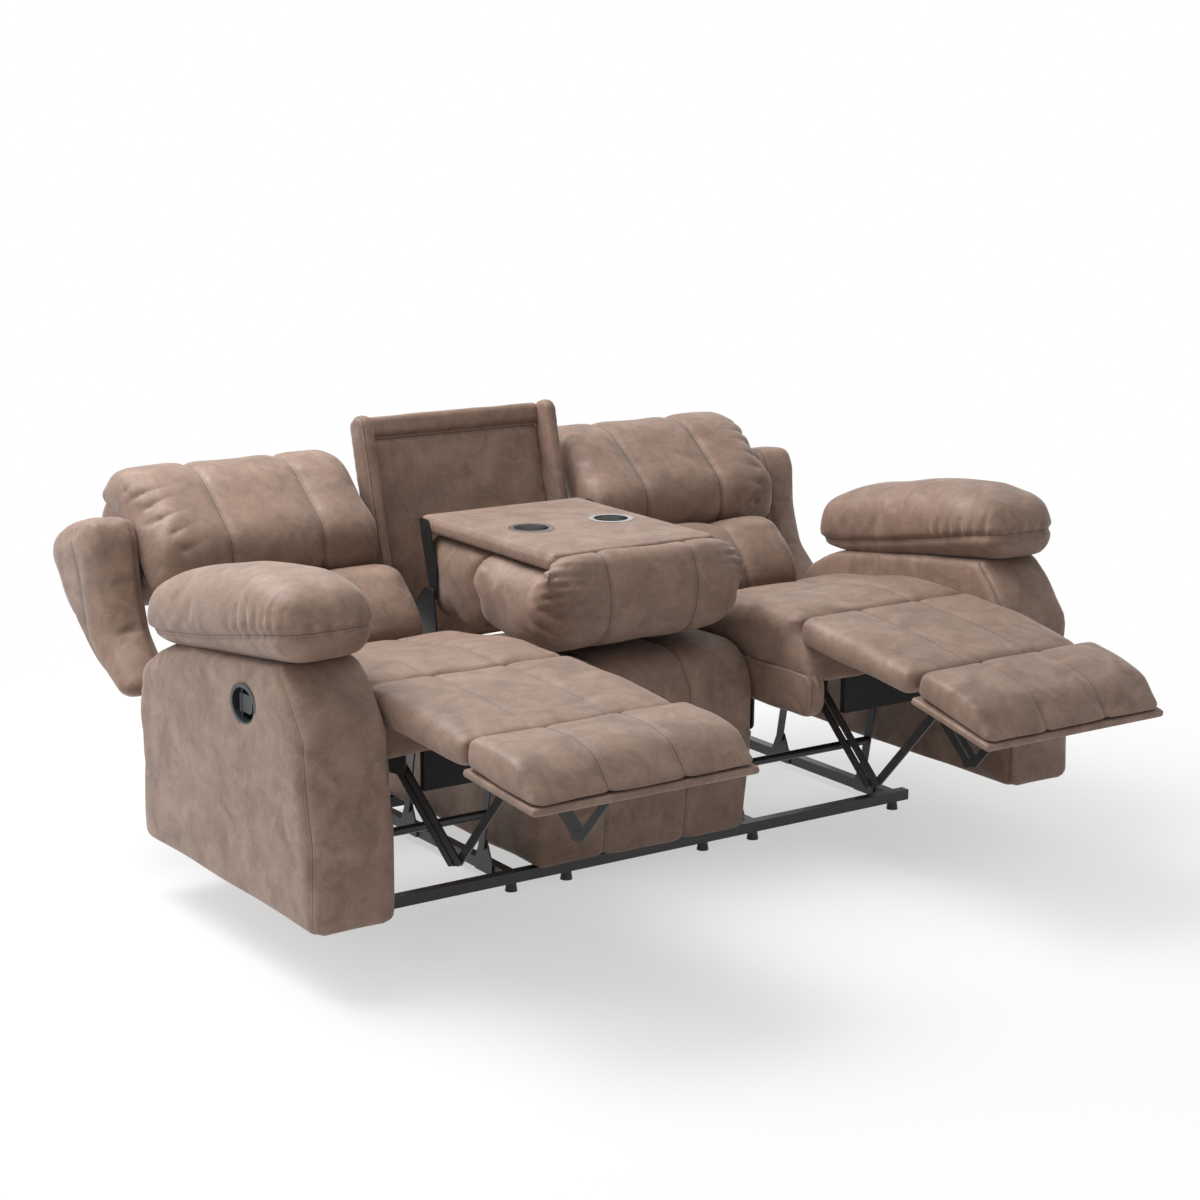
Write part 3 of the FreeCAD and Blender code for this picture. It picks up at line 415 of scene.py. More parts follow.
# %% Build shader nodes
def node(tree, kind, inputs=None, **settings):
    """One shader node with its settings; an input is a value or a socket."""
    made = tree.nodes.new(kind)
    for key, value in settings.items():
        setattr(made, key, value)
    for key, value in (inputs or {}).items():
        if isinstance(value, bpy.types.NodeSocket):
            tree.links.new(value, made.inputs[key])
        else:
            made.inputs[key].default_value = value
    return made


def new_group(name, inputs, outputs):
    """An empty shader group with float or colour sockets."""
    tree = bpy.data.node_groups.new(name, "ShaderNodeTree")
    for label, kind, value in inputs:
        socket = tree.interface.new_socket(label, in_out="INPUT", socket_type=kind)
        socket.default_value = value
    for label, kind in outputs:
        tree.interface.new_socket(label, in_out="OUTPUT", socket_type=kind)
    return tree, tree.nodes.new("NodeGroupInput"), tree.nodes.new("NodeGroupOutput")


FLOAT = "NodeSocketFloat"
COLOUR = "NodeSocketColor"


# %% Name the common nodes
def math_node(tree, operation, a, b=0.0, clamp=False):
    made = node(tree, "ShaderNodeMath", {0: a, 1: b}, operation=operation)
    made.use_clamp = clamp
    return made.outputs[0]


def mix_colour(tree, share, a, b, blend="MIX"):
    made = node(tree, "ShaderNodeMix", {"Factor": share}, data_type="RGBA", blend_type=blend)
    for key, value in ((6, a), (7, b)):
        if isinstance(value, bpy.types.NodeSocket):
            tree.links.new(value, made.inputs[key])
        else:
            made.inputs[key].default_value = value
    return made.outputs[2]


def noise_value(tree, place, scale, detail, rough=0.5, distortion=0.0):
    """The grey value of a noise texture."""
    return node(
        tree, "ShaderNodeTexNoise",
        {"Vector": place, "Scale": scale, "Detail": detail, "Roughness": rough, "Distortion": distortion},
    ).outputs["Fac"]


def stretch(tree, value, low, high, to_low=0.0, to_high=1.0, **settings):
    """A value with its range from low to high mapped onto another range."""
    return node(
        tree, "ShaderNodeMapRange", {0: value, 1: low, 2: high, 3: to_low, 4: to_high}, **settings
    ).outputs[0]


def new_material(name):
    """A material and its shader tree, still empty."""
    material = bpy.data.materials.new(name)
    material.use_nodes = True
    material.node_tree.nodes.clear()
    return material, material.node_tree


def show(tree, shader, kind="ShaderNodeOutputMaterial"):
    """Links a shader to the tree's output."""
    node(tree, kind, {"Surface": shader.outputs[0]})


# %% [markdown]
# ## Brushed microfibre
# The cover is a suede-like cloth. It has soft clouds a few fingers wide where the nap lies
# one way or the other, smaller scuffs, and a fine grain. A picture of cloth would need
# unwrapping and would repeat. Noises in object coordinates do neither, and give the
# pattern one scale on every piece.


# %% The mottle group
def mottle_group():
    tree, given, result = new_group(
        "suede_mottle",
        [("Light", COLOUR, (0.3, 0.2, 0.15, 1)), ("Dark", COLOUR, (0.2, 0.13, 0.1, 1)),
         ("Warm", COLOUR, (0.33, 0.2, 0.14, 1)), ("Cloud Scale", FLOAT, 7.0)],
        [("Color", COLOUR), ("Roughness", FLOAT), ("Height", FLOAT)],
    )
    place = node(tree, "ShaderNodeTexCoord").outputs["Object"]
    cloud = noise_value(tree, place, given.outputs["Cloud Scale"], 5.0, rough=0.62, distortion=0.6)
    cloud = stretch(tree, cloud, 0.36, 0.66)
    scuff = noise_value(tree, place, 60.0, 4.0, rough=0.7, distortion=0.4)
    scuff = stretch(tree, scuff, 0.35, 0.7)
    grain = noise_value(tree, place, 420.0, 3.0, rough=0.6)
    creases = noise_value(tree, place, 26.0, 5.0, rough=0.72)
    blush = noise_value(tree, place, 7.0, 4.0, rough=0.55)
    blush = stretch(tree, blush, 0.42, 0.68)
    colour = mix_colour(tree, cloud, given.outputs["Dark"], given.outputs["Light"])
    colour = mix_colour(tree, math_node(tree, "MULTIPLY", blush, 0.3), colour, given.outputs["Warm"])
    shade = math_node(tree, "ADD", math_node(tree, "MULTIPLY", scuff, 0.2), 0.86)
    fleck = math_node(tree, "ADD", math_node(tree, "MULTIPLY", grain, 0.24), 0.88)
    shade = math_node(tree, "MULTIPLY", shade, fleck)
    bright = node(tree, "ShaderNodeCombineColor", {0: shade, 1: shade, 2: shade}).outputs[0]
    colour = mix_colour(tree, 1.0, colour, bright, "MULTIPLY")
    rough = math_node(tree, "SUBTRACT", 0.64, math_node(tree, "MULTIPLY", cloud, 0.14))
    height = math_node(tree, "ADD", math_node(tree, "MULTIPLY", grain, 0.25), creases)
    tree.links.new(colour, result.inputs["Color"])
    tree.links.new(rough, result.inputs["Roughness"])
    tree.links.new(height, result.inputs["Height"])
    return tree


mottle = mottle_group()
print("shader group", mottle.name)

# %% [markdown]
# ## Seam and stitches
# Every soft piece stores its distance from the nearest seam, the side it lies on and the
# run along it. The group turns those into a dark line of painted shade for the seam's
# groove and a row of stitches each side.


# %% The seam group
def seam_group():
    tree, given, result = new_group(
        "seam_and_stitches",
        [("Join Width", FLOAT, 0.0022), ("Row Offset", FLOAT, 0.006), ("Stitch Length", FLOAT, 0.005)],
        [("Groove Shade", FLOAT), ("Stitch", FLOAT), ("Height", FLOAT)],
    )
    gap = node(tree, "ShaderNodeAttribute", attribute_name="seam_gap").outputs["Fac"]
    side = node(tree, "ShaderNodeAttribute", attribute_name="seam_side").outputs["Fac"]
    run = node(tree, "ShaderNodeAttribute", attribute_name="seam_run").outputs["Fac"]
    exact = math_node(tree, "ABSOLUTE", side)
    close = math_node(tree, "LESS_THAN", gap, 0.014)
    # The join line is painted shade: the seam's groove is drawn dark in the colour.
    join = stretch(tree, exact, given.outputs["Join Width"], 0.0)
    join = math_node(tree, "MULTIPLY", join, close)
    row = math_node(tree, "ABSOLUTE", math_node(tree, "SUBTRACT", exact, given.outputs["Row Offset"]))
    row = stretch(tree, row, 0.0016, 0.0004)
    row = math_node(tree, "MULTIPLY", row, close)
    beat = math_node(tree, "FRACT", math_node(tree, "DIVIDE", run, given.outputs["Stitch Length"]))
    beat = math_node(tree, "LESS_THAN", beat, 0.68)
    stitch = math_node(tree, "MULTIPLY", row, beat)
    height = math_node(tree, "SUBTRACT", math_node(tree, "MULTIPLY", stitch, -0.4), join)
    tree.links.new(join, result.inputs["Groove Shade"])
    tree.links.new(stitch, result.inputs["Stitch"])
    tree.links.new(height, result.inputs["Height"])
    return tree


seams = seam_group()
print("shader group", seams.name)


# %% The cover's material
def suede_material():
    material, tree = new_material("brown_suede")
    cover = node(tree, "ShaderNodeGroup", node_tree=mottle)
    cover.inputs["Light"].default_value = (0.300, 0.196, 0.146, 1)
    cover.inputs["Dark"].default_value = (0.196, 0.125, 0.092, 1)
    cover.inputs["Warm"].default_value = (0.310, 0.190, 0.132, 1)
    cover.inputs["Cloud Scale"].default_value = 15.0
    sewn = node(tree, "ShaderNodeGroup", node_tree=seams)
    # Painted shade: the seam's groove is drawn near black in the colour.
    colour = mix_colour(
        tree, math_node(tree, "MULTIPLY", sewn.outputs["Groove Shade"], 0.85),
        cover.outputs["Color"], (0.05, 0.032, 0.025, 1),
    )
    colour = mix_colour(
        tree, math_node(tree, "MULTIPLY", sewn.outputs["Stitch"], 0.45), colour, (0.1, 0.065, 0.05, 1)
    )
    height = math_node(
        tree, "ADD", math_node(tree, "MULTIPLY", cover.outputs["Height"], 0.5),
        math_node(tree, "MULTIPLY", sewn.outputs["Height"], 0.8),
    )
    bump = node(tree, "ShaderNodeBump", {"Strength": 0.35, "Distance": 0.0035, "Height": height})
    shader = node(
        tree, "ShaderNodeBsdfPrincipled",
        {"Base Color": colour, "Roughness": cover.outputs["Roughness"], "Normal": bump.outputs[0],
         "Sheen Weight": 0.18, "Sheen Roughness": 0.45, "Specular IOR Level": 0.45},
    )
    show(tree, shader)
    return material


suede = suede_material()
print("material", suede.name)

# %% [markdown]
# ## Steel, cups, cloth, board and plastic
# The mechanism is stamped steel under black powder coat, scuffed a little where it has
# been handled. The cups are spun steel with fine rings. One group serves all but the
# cups, because those finishes differ only in colour, in the size of their worn patches
# and in gloss.


# %% The wear group
def wear_group():
    tree, given, result = new_group(
        "handled_surface",
        [("Base", COLOUR, (0.02, 0.02, 0.02, 1)), ("Worn", COLOUR, (0.08, 0.08, 0.08, 1)),
         ("Scale", FLOAT, 40.0), ("Amount", FLOAT, 0.4), ("Roughness", FLOAT, 0.5)],
        [("Color", COLOUR), ("Roughness", FLOAT), ("Height", FLOAT)],
    )
    place = node(tree, "ShaderNodeTexCoord").outputs["Object"]
    patch = noise_value(tree, place, given.outputs["Scale"], 6.0, rough=0.65)
    worn = math_node(tree, "MULTIPLY", stretch(tree, patch, 0.52, 0.72), given.outputs["Amount"])
    grain = noise_value(tree, place, 700.0, 2.0)
    colour = mix_colour(tree, worn, given.outputs["Base"], given.outputs["Worn"])
    rough = math_node(tree, "ADD", given.outputs["Roughness"], math_node(tree, "MULTIPLY", patch, 0.2))
    rough = math_node(tree, "SUBTRACT", rough, 0.1, clamp=True)
    tree.links.new(colour, result.inputs["Color"])
    tree.links.new(rough, result.inputs["Roughness"])
    tree.links.new(grain, result.inputs["Height"])
    return tree


wear = wear_group()


def worn_material(name, base, worn, scale, amount, rough, bump=0.15, coat=0.0):
    """A finish of the handled surface group on one Principled shader."""
    material, tree = new_material(name)
    skin = node(tree, "ShaderNodeGroup", node_tree=wear)
    skin.inputs["Base"].default_value = (*base, 1)
    skin.inputs["Worn"].default_value = (*worn, 1)
    skin.inputs["Scale"].default_value = scale
    skin.inputs["Amount"].default_value = amount
    skin.inputs["Roughness"].default_value = rough
    fine = node(
        tree, "ShaderNodeBump",
        {"Strength": bump, "Distance": 0.0006, "Height": skin.outputs["Height"]},
    )
    shader = node(
        tree, "ShaderNodeBsdfPrincipled",
        {"Base Color": skin.outputs["Color"], "Roughness": skin.outputs["Roughness"],
         "Normal": fine.outputs[0], "Coat Weight": coat, "Coat Roughness": 0.3},
    )
    show(tree, shader)
    return material


black_steel = worn_material(
    "black_powder_coat", (0.014, 0.014, 0.015), (0.05, 0.05, 0.052), 55.0, 0.5, 0.42, coat=0.25
)
black_cloth = worn_material(
    "black_dust_cloth", (0.011, 0.011, 0.012), (0.03, 0.03, 0.032), 30.0, 0.6, 0.85, bump=0.6
)
plywood = worn_material(
    "plywood", (0.42, 0.29, 0.17), (0.3, 0.2, 0.11), 18.0, 0.8, 0.6, bump=0.4
)
lever_plastic = worn_material(
    "lever_plastic", (0.028, 0.03, 0.034), (0.06, 0.062, 0.068), 60.0, 0.4, 0.38, bump=0.3
)
foot_plastic = worn_material(
    "foot_plastic", (0.013, 0.013, 0.013), (0.03, 0.03, 0.03), 60.0, 0.4, 0.5, bump=0.3
)
print("finishes", [m.name for m in bpy.data.materials if m.users])


# %% The cups' material
def cup_material():
    """Spun steel: rings about each cup, drawn from the distance to its axis."""
    material, tree = new_material("spun_steel")
    place = node(tree, "ShaderNodeTexCoord").outputs["Object"]
    low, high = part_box("cup_holders")
    spread = (high.x - low.x) / 2
    middle = (high.y + low.y) / 2
    radius = (high.y - low.y) / 2
    axes = node(tree, "ShaderNodeSeparateXYZ", {0: place}).outputs
    side = math_node(tree, "SUBTRACT", math_node(tree, "ABSOLUTE", axes[0]), spread - radius)
    deep = math_node(tree, "SUBTRACT", axes[1], middle)
    ring = math_node(
        tree, "SQRT",
        math_node(
            tree, "ADD", math_node(tree, "MULTIPLY", side, side), math_node(tree, "MULTIPLY", deep, deep)
        ),
    )
    spun = node(tree, "ShaderNodeCombineXYZ", {0: ring, 1: axes[2]}).outputs[0]
    grooves = noise_value(tree, spun, 900.0, 2.0)
    rough = math_node(tree, "ADD", math_node(tree, "MULTIPLY", grooves, 0.18), 0.14)
    colour = mix_colour(tree, grooves, (0.5, 0.5, 0.5, 1), (0.72, 0.72, 0.71, 1))
    bump = node(tree, "ShaderNodeBump", {"Strength": 0.12, "Distance": 0.0004, "Height": grooves})
    shader = node(
        tree, "ShaderNodeBsdfPrincipled",
        {"Base Color": colour, "Roughness": rough, "Metallic": 1.0, "Normal": bump.outputs[0]},
    )
    show(tree, shader)
    return material


spun_steel = cup_material()

# %% [markdown]
# ## Steel and small parts keep their CAD shapes
# The links, plates, rails, cups and levers are exact solids already. Remodelling them
# would only lose precision, so nothing but their material changes.

# %% Dress the CAD nodes
SLOT_FINISH = {
    "black_steel": black_steel, "black_cloth": black_cloth, "plywood": plywood,
    "steel_cup": spun_steel, "lever_plastic": lever_plastic, "foot_plastic": foot_plastic,
}
for entry in frame["record"]["subparts"]:
    finish = SLOT_FINISH.get(entry["material_slot"])
    if finish:
        mesh = frame["nodes"][entry["node"]].data
        mesh.materials.clear()
        mesh.materials.append(finish)


# %% Hand a finished piece over
def hand_over(obj, body, node_name):
    """Gives a soft piece its cover and its body, and hides the plain solid."""
    obj.data.materials.clear()
    obj.data.materials.append(suede)
    only(obj)
    bpy.ops.object.shade_smooth()
    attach(obj, body)
    nodes = (node_name,) if isinstance(node_name, str) else node_name
    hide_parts(*nodes)
    print("made", obj.name, len(obj.data.polygons), "faces")


# %% [markdown]
# ## Places on the sofa
# Side views are drawn from the front plane of the arms. The two backs lean, so their
# parts are drawn along and behind their own hinge, as an upholsterer would bench them.

# %% Set out the drawing frames
BACK_HINGE = (0.740, 0.400)
NICHE_HINGE = (0.830, 0.565)
AHEAD = joint_place["left_recline"].y - BACK_HINGE[0]
BACK_LEAN = math.radians(50)
NICHE_LEAN = math.radians(15)
COLUMN_SEAMS = (0.4745, 0.6485)
HEAD_SEAMS = (0.458, 0.692)
LUMBAR_SEAMS = (0.4745, 0.6335)


def on_back(along, behind):
    """A drawing point from its place on the leaning back."""
    y = BACK_HINGE[0] + along * math.sin(BACK_LEAN) + behind * math.cos(BACK_LEAN)
    z = BACK_HINGE[1] + along * math.cos(BACK_LEAN) - behind * math.sin(BACK_LEAN)
    return y, z


def on_niche(up, behind):
    """A drawing point from its place on the middle back."""
    y = NICHE_HINGE[0] + up * math.sin(NICHE_LEAN) + behind * math.cos(NICHE_LEAN)
    z = NICHE_HINGE[1] + up * math.cos(NICHE_LEAN) - behind * math.sin(NICHE_LEAN)
    return y, z


def back_view(points):
    return [(*on_back(along, behind), radius) for along, behind, radius in points]


def placed(points):
    """Drawing points moved into the sofa's own frame."""
    return [(y + AHEAD, z) for y, z in points]


# %% Turn a drawing into a cushion
def block_out(name, corners, low, high, edge, voxel=0.012, passes=3):
    """A rounded block from a drawing: side view, width, edge radius, even skin."""
    block = slab(name, [(y + AHEAD, z, radius) for y, z, radius in corners], low, high)
    if edge:
        apply_modifier(
            block, "BEVEL", "edges", width=edge, segments=4, limit_method="ANGLE",
            angle_limit=math.radians(50), use_clamp_overlap=False,
        )
    even_skin(block, voxel, passes)
    return block


def finer(obj):
    apply_modifier(obj, "SUBSURF", "finer", levels=1)


def joined(obj, others):
    """Several blocks as one mesh."""
    only(obj)
    for other in others:
        other.select_set(True)
    bpy.ops.object.join()
    return obj


def channels(obj, lines, depth, reach, where=None):
    """Draws the cover down to sewn channels, so the foam stands up between them."""
    places = coordinates(obj)
    out = normals(obj)
    gap = np.min([np.abs(places[:, 0] - x) for x in lines], axis=0)
    drop = depth * (1 - np.clip(gap / reach, 0, 1)) ** 2.4
    drop = drop * (1 - np.abs(out[:, 0])) ** 0.5
    if where is not None:
        drop = np.where(where(places), drop, 0)
    set_coordinates(obj, places - out * drop[:, None])


def hollow(obj, kind, centre, size, depth, turn=None):
    """Cuts a round or oval recess into a piece with a scaled cylinder."""
    bpy.ops.mesh.primitive_cylinder_add(vertices=48, radius=1, depth=1, location=centre)
    cutter = bpy.context.object
    cutter.scale = (size[0], size[1], depth)
    if turn:
        cutter.rotation_euler = turn
    modifier = obj.modifiers.new(kind, "BOOLEAN")
    modifier.operation = "DIFFERENCE"
    modifier.object = cutter
    only(obj)
    bpy.ops.object.modifier_apply(modifier=kind)
    bpy.data.objects.remove(cutter)


# %% [markdown]
# ## The arms
# Each arm is a padded box whose front panel meets the side panel in a twin seam. A cube
# with round edges would come near, but the stepped front is what makes this arm, so its
# side view is drawn corner by corner. A hollow is cut for the dish of the release lever.

# %% Make the arms
ARM_SIDE = [
    (-0.025, 0.128, 0.014), (-0.025, 0.318, 0.060), (0.000, 0.428, 0.060), (0.000, 0.518, 0.040),
    (0.066, 0.605, 0.030), (0.118, 0.650, 0.008), (0.640, 0.585, 0.008), (0.690, 0.565, 0.030),
    (0.757, 0.524, 0.040), (0.785, 0.426, 0.060), (0.760, 0.128, 0.014),
]
FRONT_SEAM = placed([
    (-0.008, 0.128), (-0.008, 0.310), (0.017, 0.425), (0.017, 0.510), (0.080, 0.596), (0.125, 0.640),
])
ARM_OUTER = -1.010
ARM_INNER = -0.823


def make_arm():
    arm = block_out("left_arm_cover", ARM_SIDE, ARM_OUTER, ARM_INNER, edge=0.016, passes=2)
    fill_with_air(
        arm, lambda p: (p[:, 2] < 0.15) | (p[:, 2] > 0.60) | (p[:, 0] > -0.84),
        pressure=2.2, cap=0.006,
    )
    finer(arm)
    rumple(arm, size=0.20, depth=0.004, seed=3)
    low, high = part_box("left_lever_bezel")
    middle = (low + high) / 2
    hollow(
        arm, "lever_recess", (ARM_OUTER, middle.y, middle.z),
        ((high.z - low.z) / 2 - 0.005, (high.y - low.y) / 2 - 0.005), 0.060, (0, math.pi / 2, 0),
    )
    front_seams = [along_side(FRONT_SEAM, x, reach=0.025) for x in (ARM_OUTER, ARM_INNER)]
    sew(arm, front_seams, depth=0.005, width=0.008)
    return arm


left_arm = make_arm()
right_arm = mirrored(left_arm, "right_arm_cover")
rumple(right_arm, size=0.17, depth=0.002, seed=8)
hand_over(left_arm, "left_seat_unit", "left_arm")
hand_over(right_arm, "right_seat_unit", "right_arm")

# %% [markdown]
# ## The arm pillows
# The pillow over each arm is fuller than the arm and hangs over it at the front. A seam
# runs round its sides, with pleats above it where the cloth is gathered. A squeezed
# sphere would be as round, but wouldn't sit flat on the arm.

# %% Make the arm pillows
PAD_SIDE = [
    (0.118, 0.650, 0.010), (0.070, 0.656, 0.030), (0.048, 0.722, 0.045), (0.080, 0.796, 0.065),
    (0.205, 0.806, 0.120), (0.380, 0.784, 0.200), (0.600, 0.738, 0.110), (0.704, 0.698, 0.055),
    (0.724, 0.632, 0.040), (0.712, 0.580, 0.025), (0.640, 0.575, 0.020),
]
PAD_WELT = placed([
    (0.010, 0.722), (0.110, 0.712), (0.411, 0.648), (0.619, 0.612), (0.760, 0.600),
])
PAD_OUTER = -1.030
PAD_INNER = -0.803


def make_arm_pad():
    pad = block_out("left_arm_pillow", PAD_SIDE, PAD_OUTER, PAD_INNER, edge=0.062)
    fill_with_air(pad, lambda p: p[:, 2] < 0.68 - 0.19 * (p[:, 1] - AHEAD), pressure=6.0, cap=0.012)
    finer(pad)
    rumple(pad, size=0.18, depth=0.005, seed=5)
    for x, out in ((-1.032, -1), (-0.801, 1)):
        start = (x, 0.075 + AHEAD, 0.728)
        end = (x, 0.270 + AHEAD, 0.694)
        pleats(pad, start, end, (0, 0, 1), count=6, reach=0.055, depth=0.009, seed=out)
    front = 0.045 + AHEAD
    pleats(
        pad, (-0.990, front, 0.728), (-0.845, front, 0.728), (0, 0, 1),
        count=4, reach=0.050, depth=0.008, seed=3,
    )
    sew(pad, [lambda p: side_distance(p, PAD_WELT)], depth=0.007, width=0.009)
    return pad


left_arm_pad = make_arm_pad()
right_arm_pad = mirrored(left_arm_pad, "right_arm_pillow")
rumple(right_arm_pad, size=0.11, depth=0.004, seed=11)
hand_over(left_arm_pad, "left_seat_unit", "left_arm_pad")
hand_over(right_arm_pad, "right_seat_unit", "right_arm_pad")

# %% [markdown]
# ## The seats and footrests
# Three sewn columns run from the back of each seat, over the crease at its front edge
# and on over the footrest and its front board. They could be three cushions side by side.
# On the real seat they are one cover that is drawn down along two seams, so one mesh is
# drawn down in the same places.

# %% Draw the seat cushion
SEAT_SIDE = [
    (0.088, 0.428, 0.006), (0.118, 0.500, 0.020), (0.152, 0.540, 0.010), (0.152, 0.576, 0.012),
    (0.300, 0.580, 0.200),
    (0.625, 0.530, 0.036), (0.625, 0.452, 0.016),
]
SEAT_OUTER = -0.822
SEAT_INNER = -0.305


# %% Sew a cushion in three columns
def sewn_columns(obj, pressure, cap, depth, floor_height):
    """The three-column treatment of a seat or footrest cushion."""
    lines = [-x for x in COLUMN_SEAMS]
    low = coordinates(obj).min(axis=0)
    high = coordinates(obj).max(axis=0)

    def held(places):
        creased = (places[:, 1] < low[1] + 0.012) | (places[:, 1] > high[1] - 0.012)
        return beside(places, lines, 0.007) | creased | (places[:, 2] < floor_height)

    channels(obj, lines, depth, reach=0.040)
    fill_with_air(obj, held, pressure, cap)
    finer(obj)
    return [across(x) for x in lines]


# %% Make the two seats
def make_seat():
    seat = block_out("left_seat_top", SEAT_SIDE, SEAT_OUTER, SEAT_INNER, edge=0.022)
    lines = sewn_columns(seat, pressure=3.0, cap=0.005, depth=0.003, floor_height=0.47)
    rumple(seat, size=0.13, depth=0.005, seed=2)
    sew(seat, lines, depth=0.003, width=0.006)
    return seat


left_seat = make_seat()
right_seat = mirrored(left_seat, "right_seat_top")
rumple(right_seat, size=0.10, depth=0.003, seed=9)
hand_over(left_seat, "left_seat_unit", "left_seat_cushion")
hand_over(right_seat, "right_seat_unit", "right_seat_cushion")

# %% [markdown]
# ## The seat's side panels
# A padded cheek shows under the cushion on each side of a seat. Its cloth is gathered
# near the top of the front, so small folds fan out there. The cheeks could be drawn as
# part of the cushion, but they are panels of their own and the join between them shows.

# %% Make the seat's side panels
CHEEK_SIDE = [
    (0.086, 0.345, 0.045), (0.086, 0.432, 0.010), (0.104, 0.452, 0.008), (0.625, 0.452, 0.006),
    (0.655, 0.345, 0.020),
]
CHEEK_INNER = -0.300
CHEEK_WIDTH = 0.050


def make_cheeks():
    outer = block_out(
        "left_seat_cheeks", CHEEK_SIDE, ARM_INNER, ARM_INNER + CHEEK_WIDTH,
        edge=0.014, voxel=0.008, passes=2,
    )
    inner = block_out(
        "inner_cheek", CHEEK_SIDE, CHEEK_INNER - CHEEK_WIDTH, CHEEK_INNER,
        edge=0.014, voxel=0.008, passes=2,
    )
    cheeks = joined(outer, [inner])
    finer(cheeks)
    rumple(cheeks, size=0.09, depth=0.003, seed=4)
    for x in (-0.798, -0.325):
        gather(
            cheeks, (x, 0.086 + AHEAD, 0.440), (1, 0, 0), reach=(0.03, 0.04, 0.045),
            spacing=0.014, depth=0.003, facing=(0, -1, 0), seed=x,
        )
    sew(cheeks, [across(ARM_INNER + 0.008), across(CHEEK_INNER - 0.008)], depth=0.002, width=0.006)
    return cheeks


left_cheeks = make_cheeks()
right_cheeks = mirrored(left_cheeks, "right_seat_cheeks")
hand_over(left_cheeks, "left_seat_unit", "left_seat_side_panels")
hand_over(right_cheeks, "right_seat_unit", "right_seat_side_panels")

# %% [markdown]
# ## The footrests
# A footrest is a padded bridge from the seat's edge to a wrapped board with a cushion on
# it. All three are drawn flat and then turned about their hinges, because a flat drawing
# is easy to read and to change. The right one stands a little closed, which is given as
# a share of its travel. The bridge is cloth, and shortens as the footrest closes.

# %% Draw the footrests
SEAT_HINGE = Vector((0, 0.150 + AHEAD, 0.505))
BOARD_HINGE = Vector((0, -0.250 + AHEAD, 0.465))
REST_LENGTH = 0.400
REST_FOLD = 0.51
REST_TILT = 2.5
REST_TRAVEL = 46.7
BOARD_TILT = 4
BOARD_TRAVEL = 86
RIGHT_CLOSED = 0.09


def rest_side(length):
    """Side view of the bridge, whose length depends on how far it is closed."""
    tip = 0.150 - length + 0.001
    return [
        (0.149, 0.511, 0.010), (0.149, 0.577, 0.014), ((0.149 + tip) / 2, 0.585, 0.260),
        (tip, 0.575, 0.018), (tip, 0.515, 0.022),
    ]


BOARD_SIDE = [
    (-0.255, 0.487, 0.004), (-0.506, 0.487, 0.008), (-0.506, 0.505, 0.008), (-0.255, 0.505, 0.004),
]
FLAP_SIDE = [
    (-0.258, 0.505, 0.012), (-0.258, 0.571, 0.022), (-0.3600, 0.578, 0.120), (-0.440, 0.570, 0.050),
    (-0.501, 0.514, 0.012), (-0.499, 0.505, 0.004),
]
REST_OUTER = -0.815
FLAP_OUTER = -0.818
FLAP_INNER = -0.304
BOARD_OUTER = -0.819
BOARD_INNER = -0.303


# %% Make the two footrests
def make_footrest(side, closed, shift):
    """Pad, front flap and board of one footrest, drawn flat and then turned."""
    length = REST_LENGTH * (1 - closed * (1 - REST_FOLD))
    pad = block_out(side + "_rest_top", rest_side(length), REST_OUTER, SEAT_INNER, edge=0.020)
    lines = sewn_columns(pad, pressure=3.0, cap=0.003, depth=0.002, floor_height=0.52)
    rumple(pad, size=0.15, depth=0.004, seed=6 + closed * 40)
    sew(pad, lines, depth=0.003, width=0.006)
    front = block_out(side + "_flap_top", FLAP_SIDE, FLAP_OUTER, FLAP_INNER, edge=0.020, voxel=0.010)
    lines = sewn_columns(front, pressure=3.0, cap=0.003, depth=0.002, floor_height=0.512)
    rumple(front, size=0.14, depth=0.004, seed=7 + closed * 40)
    sew(front, lines, depth=0.003, width=0.006)
    board = block_out(
        side + "_board_wrap", BOARD_SIDE, BOARD_OUTER, BOARD_INNER, edge=0.005, voxel=0.006, passes=1
    )
    underside = [lambda p: (np.abs(p[:, 2] - 0.4885), p[:, 0] + p[:, 1])]
    sew(board, underside, depth=0.001, width=0.004)
    if side == "right":
        for piece in (pad, front, board):
            piece.data.transform(Matrix.Scale(-1, 4, (1, 0, 0)))
            piece.data.flip_normals()
    turn_about(pad, SEAT_HINGE, REST_TILT + closed * REST_TRAVEL)
    for piece in (front, board):
        turn_about(piece, BOARD_HINGE, BOARD_TILT + closed * BOARD_TRAVEL, shift)
    hand_over(pad, side + "_rest_pad", side + "_footrest_pad")
    hand_over(front, side + "_flap", side + "_flap_pad")
    hand_over(board, side + "_flap", side + "_footrest_board")
    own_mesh(pad)
    return pad, front, board


moved_right = joint_place["right_footrest_flap"] - joint_place["left_footrest_flap"]
make_footrest("left", 0.0, Vector((0, 0, 0)))
make_footrest("right", RIGHT_CLOSED, Vector((0, moved_right.y, moved_right.z)))

# %% [markdown]
# ## The leaning backs
# Each end back is a lumbar roll under a headrest, with a wing on its outer side and a
# wrapped frame behind. They could be modelled upright and then tipped. Their outlines are
# measured along and behind the leaning plane instead, so that each sits in its solid's
# place at once.

